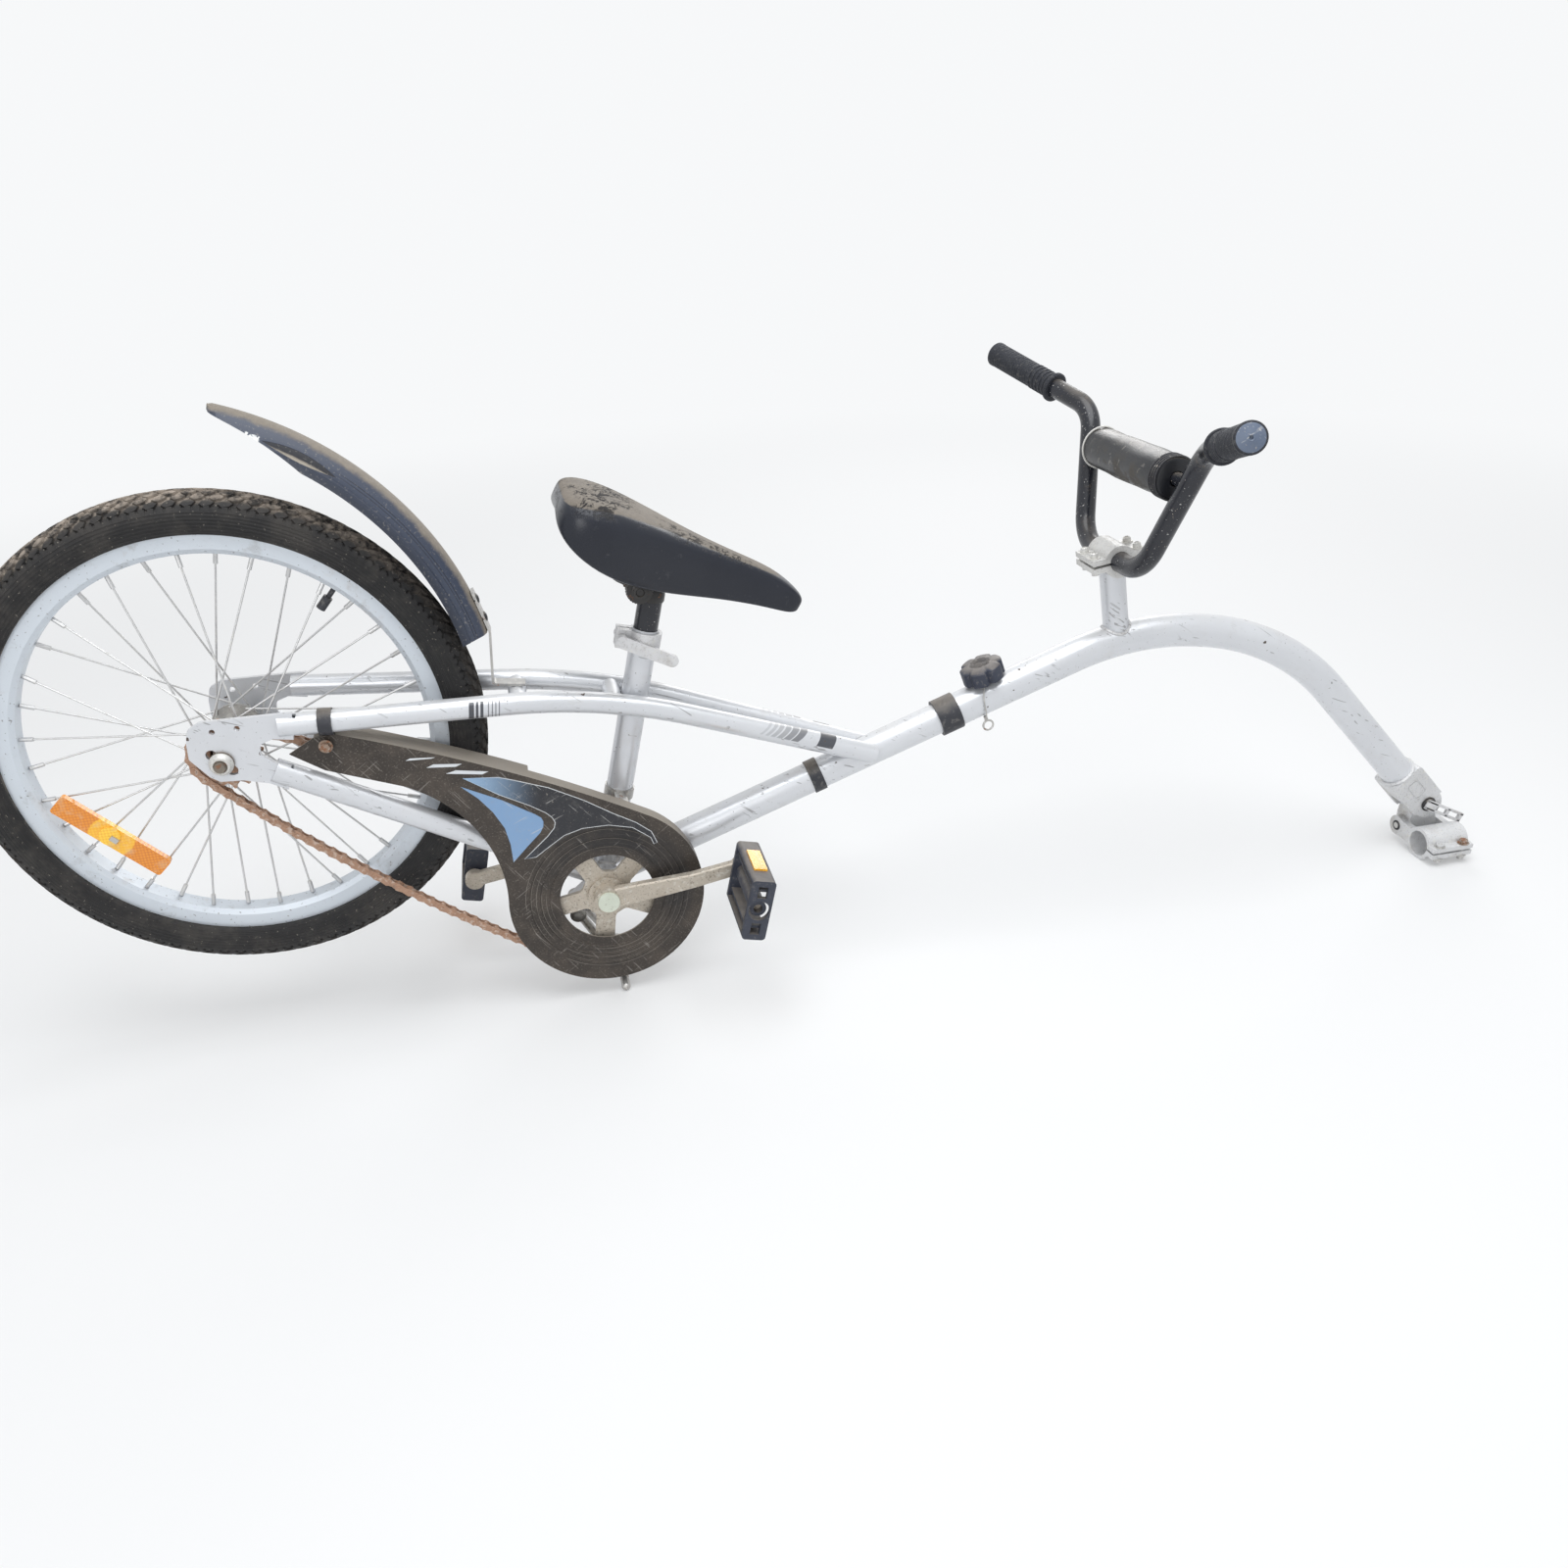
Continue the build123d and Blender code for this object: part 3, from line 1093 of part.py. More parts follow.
def hitch_fork():
    """The cast end: a squared sleeve on the boom that ends in two round cheeks."""
    half = FORK_WIDTH / 2
    outline = Circle(FORK_RADIUS) + Pos(-FORK_LENGTH / 2, 0) * Rectangle(FORK_LENGTH, 2 * FORK_RADIUS + 6.0)
    outline = fillet([v for v in outline.vertices() if v.X < 1.0 - FORK_LENGTH], 5.0)
    body = slab(outline, -half, half, HITCH, BOOM_END_ANGLE)
    body -= hitch_fork_slot()
    body -= boom_tube(BOOM_RADIUS + SEAT_GAP)
    panel = RectangleRounded(26.0, 17.0, 4.0) - RectangleRounded(22.0, 13.0, 3.0)
    for side in (-1, 1):
        low, high = sorted((side * (half - 0.8), side * (half + 1.0)))
        body -= slab(Pos(-32.0, 0) * panel, low, high, HITCH, BOOM_END_ANGLE)
    body -= cross_rod(HITCH, -half - 1.0, half + 1.0, SKEWER_RADIUS + PIVOT_PLAY)
    return body


def hitch_link():
    """The block that hangs from the skewer and holds the upright pin's barrel."""
    half = LINK_WIDTH / 2
    first = CLAMP_BODY_START + LOBE_THICKNESS + PIVOT_PLAY
    last = CLAMP_BODY_START + CLAMP_BODY_LENGTH - LOBE_THICKNESS - PIVOT_PLAY
    frame = hitch_plane()
    web = make_face(Polyline((-11.0, 7.0), (11.0, 7.0), (last, -PIN_DROP + 6.0), (last, -PIN_DROP),
                             (first, -PIN_DROP), (first, -PIN_DROP + 14.0), close=True))
    body = slab(web + Circle(LINK_EYE), -half, half, HITCH, PARK_PITCH)
    barrel = Plane(frame.from_local_coords(Vector(first, 0, -PIN_DROP)), z_dir=frame.x_dir)
    body += extrude(barrel * Circle(half), last - first)
    body -= extrude(barrel * Circle(PIN_RADIUS + PIVOT_PLAY), last - first)
    return body - cross_rod(HITCH, -half - 1.0, half + 1.0, SKEWER_RADIUS + PIVOT_PLAY)


def hitch_clamp():
    """The seat-post clamp: a bored barrel with two lobes for the pin and two bolted ears."""
    frame = hitch_plane()
    swing = radians(BORE_SWING)
    out = (sin(swing), cos(swing))
    start = frame.from_local_coords(Vector(CLAMP_BODY_START, 0, -PIN_DROP))
    section = Plane(start, x_dir=(0, 1, 0), z_dir=frame.x_dir)
    turn = degrees(atan2(out[1], out[0]))
    bore_at = (BORE_OFFSET * out[0], BORE_OFFSET * out[1])
    outer = BORE_RADIUS + BORE_WALL
    barrel = Pos(*bore_at) * Circle(outer)
    barrel += Pos(*bore_at) * Rot(0, 0, turn) * Pos(EAR_REACH / 2, 0) * Rectangle(EAR_REACH, 2 * EAR_THICKNESS + EAR_GAP)
    body = extrude(section * barrel, CLAMP_BODY_LENGTH)
    neck = Rot(0, 0, turn) * Pos(BORE_OFFSET / 2, 0) * Rectangle(BORE_OFFSET, 2 * PIN_LOBE - 4.0)
    lobe = Circle(PIN_LOBE) + neck
    lobe_end = section.offset(CLAMP_BODY_LENGTH - LOBE_THICKNESS)
    body += extrude(section * lobe, LOBE_THICKNESS) + extrude(lobe_end * lobe, LOBE_THICKNESS)
    body -= extrude(section * (Pos(*bore_at) * Circle(BORE_RADIUS)), CLAMP_BODY_LENGTH)
    slit = Pos(*bore_at) * Rot(0, 0, turn) * Pos(EAR_REACH / 2 + 8.0, 0) * Rectangle(EAR_REACH, EAR_GAP)
    body -= extrude(section * slit, CLAMP_BODY_LENGTH)
    pin = extrude(section * Circle(PIN_RADIUS), CLAMP_BODY_LENGTH)
    body = body + pin
    bolt_reach = EAR_THICKNESS + EAR_GAP / 2
    pieces = list(body.solids())
    for share in (0.2, 0.8):
        spot = section.offset(share * CLAMP_BODY_LENGTH)
        across = Rot(0, 0, turn) * Pos(outer + 4.0, 0)
        centre = Pos(*bore_at) * across
        place = spot * centre
        bolt = Plane(place.position, z_dir=frame.z_dir)
        pieces += (bolt * Pos(0, 0, bolt_reach + SEAT_GAP / 3 + 2.0) * Cylinder(4.5, 4.0)).solids()
        pieces += (bolt * Pos(0, 0, -bolt_reach - SEAT_GAP / 3 - 2.5) * Cylinder(3.8, 5.0)).solids()
        pieces += (bolt * Cylinder(2.4, EAR_GAP - 0.2)).solids()
    return Compound(pieces)


def hitch_skewer():
    """The quick-release pin through fork and link, with its lever and nut."""
    half = FORK_WIDTH / 2
    pin = cross_rod(HITCH, -half - 7.5, half + 6.0, SKEWER_RADIUS)
    pin += cross_rod(HITCH, -half - 7.5, -half - SEAT_GAP, 9.0)
    pin += cross_rod(HITCH, half + SEAT_GAP, half + 8.0, 8.0)
    lever = SlotOverall(62.0, 12.0) - Pos(9.0, 0) * SlotOverall(28.0, 4.0)
    middle = (HITCH[0] + 24.0, HITCH[1] - 8.5)
    return pin + slab(lever, -half - 7.5, -half - 3.5, middle, -19.0)


# Reach of the whole bike, then the parked stance
NODES = {
    "tyre": tyre(),
    "rim": rim(),
    "hub": hub(),
    "spokes": spokes(),
    "sprocket": sprocket(),
    "wheel_reflector": spoke_reflector(),
    "valve": valve(),
    "axle": axle(),
    "seat_tube": seat_tube(),
    "main_tube": main_tube(),
    "bottom_bracket": bb_shell(),
    "bridges": bridges(),
    "front_boom": front_boom(),
    "boom_collar": boom_collar(),
    "boom_knob": boom_knob(),
    "lock_pin": lock_pin(),
    "handlebar_post": handlebar_post(),
    "bar_clamp": bar_clamp(),
    "handlebar": handlebar(),
    "crossbar_pad": crossbar_pad(),
    "seat_clamp": seat_clamp(),
    "seat_post": seat_post(),
    "saddle_rails": saddle_rails(),
    "saddle_clamp": saddle_clamp(),
    "saddle": saddle(),
    "mudguard": mudguard(),
    "mudguard_bracket": mudguard_bracket(),
    "chain_guard": chain_guard(),
    "guard_bracket": guard_bracket(),
    "guard_strap": guard_strap(),
    "frame_strap": frame_strap(),
    "chain": chain(),
    "chainring": chainring(),
    "spindle": spindle(),
    "crank_right": crank_right(),
    "crank_left": crank_left(),
    "crank_caps": crank_caps(),
    "stand_bracket": stand_bracket(),
    "centre_stand": centre_stand(),
    "hitch_fork": hitch_fork(),
    "hitch_link": hitch_link(),
    "hitch_clamp": hitch_clamp(),
    "hitch_skewer": hitch_skewer(),
}
for side_name, side in (("right", -1), ("left", 1)):
    NODES["pedal_" + side_name] = pedal(side)
    NODES["pedal_reflectors_" + side_name] = pedal_reflectors(side)
for name, make in (("dropout", dropout), ("upper_stay", upper_stay), ("chainstay", chainstay)):
    NODES[name + "_right"], NODES[name + "_left"] = both_sides(make())
NODES["grip_left"] = grip()
NODES["grip_right"] = mirror(NODES["grip_left"], Plane.XZ)

level = Rot(0, PARK_PITCH, 0)
reach = Compound([solid for shape in NODES.values() for solid in (level * shape).solids()]).bounding_box()
shift = Pos(-(reach.min.X + reach.max.X) / 2, 0, -reach.min.Z)
os.makedirs("parts", exist_ok=True)
for name, shape in NODES.items():
    export_step(shift * level * shape, "parts/" + name + ".step")


def parked(point):
    """A bike-frame point where it lies when parked, in metres."""
    place = (shift * level * Pos(*point)).position
    return tuple(round(value / 1000, 6) for value in (place.X, place.Y, place.Z))


PLACES = {
    "wheel": (0, 0, 0),
    "crank": (BB[0], 0, BB[1]),
    "pedal_right": (crank_end(-1)[0], -CRANK_TIP_Y, crank_end(-1)[1]),
    "pedal_left": (crank_end(1)[0], CRANK_TIP_Y, crank_end(1)[1]),
    "stand": (STAND_PIVOT[0], 0, STAND_PIVOT[1]),
    "hitch": (HITCH[0], 0, HITCH[1]),
    "seat_top": (SEAT_TUBE_TOP[0], 0, SEAT_TUBE_TOP[1]),
    "seat_foot": (SEAT_TUBE_FOOT[0], 0, SEAT_TUBE_FOOT[1]),
    "crossbar": (crossbar_place()[0], 0, crossbar_place()[1]),
}
for name, point in PLACES.items():
    print("place", name, *parked(point))
print("reach", reach.size)
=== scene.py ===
import json
from math import acos, asin, atan2, cos, hypot, pi, radians, sin, sqrt

import bmesh
import bpy
from mathutils import Euler, Matrix, Vector
from mathutils.bvhtree import BVHTree


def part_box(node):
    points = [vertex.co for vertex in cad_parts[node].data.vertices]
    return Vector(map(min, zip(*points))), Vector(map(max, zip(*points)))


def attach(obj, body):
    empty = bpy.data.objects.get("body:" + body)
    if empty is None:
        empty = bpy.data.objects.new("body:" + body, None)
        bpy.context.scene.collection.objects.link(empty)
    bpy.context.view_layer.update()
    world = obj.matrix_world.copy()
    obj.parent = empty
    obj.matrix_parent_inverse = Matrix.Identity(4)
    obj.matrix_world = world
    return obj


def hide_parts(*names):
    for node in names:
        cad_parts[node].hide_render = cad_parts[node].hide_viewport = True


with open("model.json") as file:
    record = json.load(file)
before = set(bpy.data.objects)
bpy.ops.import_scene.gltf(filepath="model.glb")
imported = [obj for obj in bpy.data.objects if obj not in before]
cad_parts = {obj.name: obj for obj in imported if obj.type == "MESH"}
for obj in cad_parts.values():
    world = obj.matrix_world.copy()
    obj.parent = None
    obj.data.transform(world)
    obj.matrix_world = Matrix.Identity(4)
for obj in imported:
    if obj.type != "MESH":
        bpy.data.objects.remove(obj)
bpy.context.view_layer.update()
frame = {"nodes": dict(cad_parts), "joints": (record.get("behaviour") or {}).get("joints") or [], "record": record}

# Pieces are modelled in the bike's own frame, in millimetres: the origin is the wheel's centre, X points
# forward and Y to the rider's left. TO_FRAME parks them on the stand, in metres.
PARK_PITCH = 8.0
MM = 0.001
JOINTS = {joint["name"]: joint for joint in frame["joints"]}
HUB_PLACE = Vector(JOINTS["wheel_roll"]["pos_m"])
PARK = Matrix.Translation(HUB_PLACE) @ Matrix.Rotation(radians(PARK_PITCH), 4, "Y")
TO_FRAME = PARK @ Matrix.Scale(MM, 4)
TO_BIKE = TO_FRAME.inverted()
SMOOTH_ANGLE = radians(38.0)

# Sizes that the scene's pieces share with the frame
TYRE_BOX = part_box("tyre")
TYRE_RADIUS = (TYRE_BOX[1].z - TYRE_BOX[0].z) / 2 / MM
TYRE_HALF = 23.5
RIM_RADIUS = 210.0
RIM_HALF = 13.0
PITCH = 12.7
SPROCKET_TEETH = 16
RING_TEETH = 46
CHAIN_LINKS = 96
CHAIN_LINE = -41.0
BB = (373.5, -162.6)
GUARD_FACE = -54.0
SEAT_TUBE_FOOT = Vector((377.0, 0.0, -150.0))
SEAT_TUBE_TOP = Vector((407.3, 0.0, 124.0))
SEAT_POST_RISE = 30.0
POST_FOOT = Vector((939.0, 0.0, 134.0))
POST_TOP = Vector((915.0, 0.0, 217.0))
POST_RADIUS = 14.3
BAR_RADIUS = 11.1
BAR_KNEE = Vector((924.0, 130.0, 355.0))
BAR_END = Vector((864.0, 287.0, 392.0))
BOOM_JOINT = Vector((752.0, 0.0, 30.3))
BOOM_ANGLE = 27.0
BOOM_RADIUS = 19.05
MUDGUARD_CENTRE = (-47.0, 17.0)
MUDGUARD_RADIUS = 312.4
CROSSBAR = TO_BIKE @ ((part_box("crossbar_pad")[0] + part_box("crossbar_pad")[1]) / 2)
PAD_RADIUS = 22.0
PAD_HALF = 89.0
SPROCKET_RADIUS = PITCH / (2 * sin(pi / SPROCKET_TEETH))
RING_RADIUS = PITCH / (2 * sin(pi / RING_TEETH))


class Value:
    """One output of a finish's nodes. Arithmetic on values adds their Math nodes."""

    def __init__(self, finish, socket):
        self.finish = finish
        self.socket = socket

    def math(self, operation, first, second):
        return self.finish.node("ShaderNodeMath", 0, {"operation": operation}, {0: first, 1: second})

    def __add__(self, other):
        return self.math("ADD", self, other)

    def __sub__(self, other):
        return self.math("SUBTRACT", self, other)

    def __rsub__(self, other):
        return self.math("SUBTRACT", other, self)

    def __mul__(self, other):
        return self.math("MULTIPLY", self, other)

    __radd__ = __add__
    __rmul__ = __mul__

    def absolute(self):
        return self.finish.node("ShaderNodeMath", 0, {"operation": "ABSOLUTE"}, {0: self})


class Finish:
    """One procedural material, its patterns on the piece's own coordinates."""

    def __init__(self, name):
        self.material = bpy.data.materials.new(name)
        self.material.use_nodes = True
        self.tree = self.material.node_tree
        self.shader = self.tree.nodes["Principled BSDF"]
        self.place = self.node("ShaderNodeTexCoord", "Object")

    def put(self, socket, value):
        """Links a value to a socket, or sets a plain number or colour on it."""
        if isinstance(value, Value):
            self.tree.links.new(value.socket, socket)
        elif isinstance(value, tuple) and socket.type == "RGBA":
            socket.default_value = (*value, 1.0)
        else:
            socket.default_value = value

    def node(self, kind, output, settings=None, sockets=None):
        """Adds one node: its settings first, then the values or links of its sockets."""
        made = self.tree.nodes.new(kind)
        for name, value in (settings or {}).items():
            setattr(made, name, value)
        for name, value in (sockets or {}).items():
            self.put(made.inputs[name], value)
        return Value(self, made.outputs[output])

    def noise(self, scale, detail=2.0, roughness=0.5, place=None, distortion=0.0):
        return self.node("ShaderNodeTexNoise", 0, None, {
            "Vector": place or self.place, "Scale": scale, "Detail": detail,
            "Roughness": roughness, "Distortion": distortion,
        })

    def cells(self, scale, randomness=1.0):
        return self.node("ShaderNodeTexVoronoi", "Distance", None, {
            "Vector": self.place, "Scale": scale, "Randomness": randomness,
        })

    def step(self, value, low, high):
        """A soft step from 0 to 1 as the value goes from low to high."""
        return self.node("ShaderNodeMapRange", 0, {"interpolation_type": "SMOOTHSTEP"}, {
            "Value": value, "From Min": low, "From Max": high,
        })

    def mix(self, mask, first, second):
        """The first colour, and the second where the mask is 1."""
        return self.node("ShaderNodeMix", 2, {"data_type": "RGBA"}, {0: mask, 6: first, 7: second})

    def patches(self, low, high, *grain):
        """Patches of noise: 0 below the low mark, 1 above the high one."""
        return self.step(self.noise(*grain), low, high)

    def mottled(self, first, second, *grain):
        """A colour that drifts between two as the noise does."""
        return self.mix(self.noise(*grain), first, second)

    def stretched(self, scale, turn=(0.0, 0.0, 0.0)):
        """The piece's coordinates, turned and then stretched."""
        turned = self.node("ShaderNodeMapping", 0, None, {"Vector": self.place, "Rotation": turn})
        return self.node("ShaderNodeMapping", 0, None, {"Vector": turned, "Scale": scale})

    def part(self, letter, vector=None):
        """One coordinate of a vector."""
        return self.node("ShaderNodeSeparateXYZ", letter, None, {0: vector or self.place})

    def bike(self):
        """The surface's place in the bike's own frame, in millimetres."""
        return self.node("ShaderNodeMapping", 0, {"vector_type": "TEXTURE"}, {
            "Vector": self.place, "Location": tuple(HUB_PLACE),
            "Rotation": (0.0, radians(PARK_PITCH), 0.0), "Scale": (MM, MM, MM),
        })

    def between(self, value, low, high, soft):
        """1 where a value lies between two limits."""
        return self.step(value, low - soft, low + soft) * (1.0 - self.step(value, high - soft, high + soft))

    def up(self):
        """How far the surface faces up, on the piece's own normals."""
        normal = self.node("ShaderNodeTexCoord", "Normal")
        return self.part("Z", normal)

    def bump(self, height, distance, strength):
        return self.node("ShaderNodeBump", 0, None, {
            "Height": height, "Distance": distance, "Strength": strength,
        })

    def scratches(self, scale, thin, turn):
        """Fine straight scratches along one direction."""
        lines = self.noise(scale, 1.0, 0.5, self.stretched((1.0, 1.0, 0.04), turn))
        patches = self.noise(scale * 0.08, 2.0)
        return self.step(lines, thin, thin + 0.03) * self.step(patches, 0.48, 0.6)

    def surface(self, colour, roughness, metallic=0.0, normal=None, coat=0.0, **plain):
        """Feeds the shader and returns the material."""
        self.put(self.shader.inputs["Base Color"], colour)
        self.put(self.shader.inputs["Roughness"], roughness)
        self.put(self.shader.inputs["Metallic"], metallic)
        self.put(self.shader.inputs["Coat Weight"], coat)
        if normal is not None:
            self.put(self.shader.inputs["Normal"], normal)
        for name, value in plain.items():
            self.shader.inputs[name.replace("_", " ")].default_value = value
        return self.material


DUST = (0.30, 0.26, 0.21)
RUST = (0.30, 0.115, 0.04)
DARK_RUST = (0.11, 0.045, 0.022)


def silver_paint(name="silver_paint", marks=None):
    """Silver enamel: fine flakes, dust on top, a few specks, hairline scratches, and printed marks."""
    f = Finish(name)
    broad = f.noise(11.0, 3.0)
    paint = f.mix(broad, (0.60, 0.615, 0.645), (0.71, 0.725, 0.75))
    flakes = f.noise(2400.0, 1.0)
    paint = f.mix(flakes * 0.16, paint, (0.40, 0.41, 0.44))
    mark = 0.0
    if marks:
        mark = marks(f)
        paint = f.mix(mark, paint, (0.018, 0.021, 0.032))
    dust = f.step(f.up() + f.noise(26.0, 4.0) * 0.9, 1.05, 1.8)
    paint = f.mix(dust * 0.38, paint, (0.52, 0.49, 0.44))
    film = f.patches(0.52, 0.74, 34.0, 5.0, 0.65)
    paint = f.mix(film * 0.14, paint, (0.42, 0.38, 0.33))
    specks = f.patches(0.70, 0.73, 360.0, 2.0, 0.6)
    paint = f.mix(specks * 0.7, paint, (0.09, 0.07, 0.055))
    chips = f.patches(0.715, 0.725, 95.0, 3.0, 0.6)
    paint = f.mix(chips, paint, (0.07, 0.05, 0.04))
    scuffs = f.scratches(260.0, 0.675, (0.4, 0.9, 0.3)) + f.scratches(330.0, 0.69, (0.1, 1.2, 0.9))
    paint = f.mix(scuffs * 0.6, paint, (0.16, 0.155, 0.15))
    rough = 0.30 + dust * 0.2 + film * 0.1 + specks * 0.2 + chips * 0.3
    metal = 0.42 - dust * 0.25 - specks * 0.3 - chips * 0.3 - mark * 0.3
    relief = f.noise(60.0, 2.0) * 0.25 - chips * 0.7 - specks * 0.12
    return f.surface(paint, rough, metal, f.bump(relief, 0.0006, 0.5), coat=0.3 - dust * 0.2,
                     Coat_Roughness=0.16)


# Printed marks on the stays: bars across them, then stripes that end in a dark lozenge
STAY_BARS = ((229.5, 234.6), (236.2, 238.8), (240.6, 243.6), (248.0, 248.8), (251.8, 252.6), (255.2, 256.0),
             (258.6, 259.4))
STAY_MIDDLE = (52.0, 36.5, 0.0753)
LOZENGE_LEAN = 1.30
LOZENGE_STRIPES = ((553.0, 563.6, 0.75), (541.5, 551.2, 0.62), (531.5, 539.3, 0.45), (522.5, 528.8, 0.35),
                   (514.5, 519.5, 0.28), (506.5, 510.5, 0.22))


def stay_marks(f):
    spot = f.bike()
    along = f.part("X", spot)
    height = f.part("Z", spot)
    out = f.part("Y", spot).absolute()
    bars = 0.0
    for low, high in STAY_BARS:
        bars = bars + f.between(along, low, high, 0.35)
    start, base, slope = STAY_MIDDLE
    above = height - (base - start * slope) - along * slope
    bars = bars * f.between(above, -9.0, 8.5, 0.3) * f.step(out, 36.0, 37.0)
    slanted = along - height * LOZENGE_LEAN
    stripes = f.between(along - height * 0.55, 594.0, 615.0, 0.4) * f.step(slanted, 578.4, 579.0)
    for low, high, strength in LOZENGE_STRIPES:
        stripes = stripes + f.between(slanted, low, high, 0.3) * strength
    line = height + along * 0.235
    stripes = stripes * f.between(line, 143.2, 157.0, 0.5) * f.step(out, 14.0, 16.0)
    return bars * 0.93 + stripes * f.step(along, 500.0, 515.0) * 0.93


def welded_paint():
    """Pale enamel over a weld, thin on its ripples and grimy beside them."""
    f = Finish("welded_paint")
    paint = f.mottled((0.66, 0.665, 0.68), (0.50, 0.495, 0.49), 260.0, 3.0)
    grime = f.patches(0.54, 0.66, 190.0, 4.0, 0.7)
    paint = f.mix(grime * 0.5, paint, (0.20, 0.17, 0.14))
    return f.surface(paint, 0.4 + grime * 0.2, 0.3, f.bump(f.noise(420.0, 2.0), 0.0004, 0.5))


def worn_black_paint():
    """Gloss black with a blue sheen, specked with white primer, dusty on top."""
    f = Finish("black_paint")
    black = f.mottled((0.010, 0.011, 0.015), (0.022, 0.024, 0.032), 30.0, 3.0)
    dust = f.step(f.up() + f.noise(50.0, 4.0), 1.0, 1.75)
    black = f.mix(dust * 0.30, black, DUST)
    flecks = f.patches(0.665, 0.685, 420.0, 3.0, 0.62)
    big = f.patches(0.70, 0.715, 170.0, 4.0, 0.7)
    bare = f.mix(f.patches(0.55, 0.66, 95.0, 2.0), (0.62, 0.61, 0.59), (0.30, 0.20, 0.13))
    colour = f.mix(flecks * 0.8, black, bare)
    colour = f.mix(big, colour, f.mottled((0.50, 0.47, 0.43), (0.26, 0.17, 0.11), 240.0, 3.0))
    brown = f.patches(0.60, 0.72, 38.0, 4.0, 0.65)
    colour = f.mix(brown * 0.35, colour, (0.16, 0.12, 0.085))
    worn = flecks + big
    rough = 0.24 + dust * 0.30 + worn * 0.3 + brown * 0.15
    relief = f.noise(70.0, 2.0) * 0.2 - worn * 0.6
    return f.surface(colour, rough, 0.0, f.bump(relief, 0.0004, 0.5), coat=0.25 - dust * 0.2,
                     Coat_Roughness=0.1, Specular_IOR_Level=0.35)


def black_steel():
    """Black-coated steel fittings, scuffed and rusting."""
    f = Finish("black_steel")
    black = f.mottled((0.018, 0.018, 0.019), (0.045, 0.042, 0.04), 40.0, 3.0)
    dust = f.step(f.up() + f.noise(60.0, 4.0) * 0.9, 0.8, 1.6)
    black = f.mix(dust * 0.4, black, DUST)
    rust = f.patches(0.58, 0.66, 120.0, 4.0, 0.7)
    black = f.mix(rust * 0.7, black, f.mottled(RUST, DARK_RUST, 300.0, 2.0))
    rough = 0.38 + dust * 0.25 + rust * 0.35
    return f.surface(black, rough, 0.3 - rust * 0.3, f.bump(f.noise(160.0, 3.0) - rust * 0.5, 0.0004, 0.5))


def tyre_rubber():
    """Black rubber with pale dust worn into its tread and grey bloom on its walls."""
    f = Finish("tyre")
    crown = 1.0 - f.step(f.part("Y").absolute(), 0.012, 0.0185)
    rubber = f.mottled((0.013, 0.013, 0.014), (0.030, 0.029, 0.029), 70.0, 3.0)
    streaks = f.patches(0.44, 0.66, 26.0, 5.0, 0.7)
    rubber = f.mix(streaks * 0.30, rubber, (0.105, 0.095, 0.085))
    worn = f.patches(0.36, 0.60, 85.0, 5.0, 0.7)
    spot = f.bike()
    where = f.step(f.part("Z", spot) - f.part("X", spot) * 0.8 + f.noise(4.0, 2.0) * 420.0, 150.0, 420.0)
    chalk = f.mottled((0.40, 0.345, 0.29), (0.22, 0.185, 0.155), 320.0, 2.0)
    colour = f.mix(crown * worn * (0.12 + where * 0.88), rubber, chalk)
    specks = f.patches(0.68, 0.72, 420.0, 2.0)
    colour = f.mix(specks * 0.5, colour, (0.30, 0.27, 0.23))
    rough = 0.55 + crown * 0.3 + streaks * 0.1
    relief = f.noise(600.0, 2.0) * 0.4 + f.noise(140.0, 3.0) * 0.5
    return f.surface(colour, rough, 0.0, f.bump(relief, 0.0005, 0.6), Specular_IOR_Level=0.25)


def rim_metal():
    """Dull pale blue-grey aluminium, grimy by the tyre and round the nipples."""
    f = Finish("rim")
    metal = f.mottled((0.55, 0.60, 0.655), (0.65, 0.695, 0.745), 9.0, 3.0)
    stain = f.patches(0.55, 0.72, 46.0, 5.0, 0.7)
    metal = f.mix(stain * 0.35, metal, (0.30, 0.29, 0.27))
    brown = f.patches(0.60, 0.75, 19.0, 4.0, 0.6)
    metal = f.mix(brown * 0.4, metal, (0.36, 0.27, 0.19))
    specks = f.patches(0.67, 0.71, 300.0, 2.0)
    metal = f.mix(specks * 0.6, metal, (0.10, 0.085, 0.07))
    rough = 0.42 + stain * 0.2 + brown * 0.15
    return f.surface(metal, rough, 0.35, f.bump(f.noise(120.0, 3.0), 0.0003, 0.4))


def plated_steel(name="steel", tone=(0.55, 0.54, 0.52), rust_low=0.60):
    """Zinc-plated steel, milky with age and spotted with rust."""
    f = Finish(name)
    dark = tuple(part * 0.62 for part in tone)
    metal = f.mottled(tone, dark, 70.0, 4.0, 0.6)
    bloom = f.patches(0.5, 0.68, 180.0, 3.0, 0.6)
    metal = f.mix(bloom * 0.5, metal, (0.62, 0.61, 0.57))
    rust = f.step(f.noise(130.0, 4.0, 0.7), rust_low, rust_low + 0.07)
    metal = f.mix(rust * 0.85, metal, f.mottled(RUST, DARK_RUST, 420.0, 2.0))
    rough = 0.36 + bloom * 0.2 + rust * 0.35
    relief = f.noise(260.0, 3.0) + rust * 0.4
    return f.surface(metal, rough, 0.75 - bloom * 0.45 - rust * 0.6, f.bump(relief, 0.0003, 0.5))


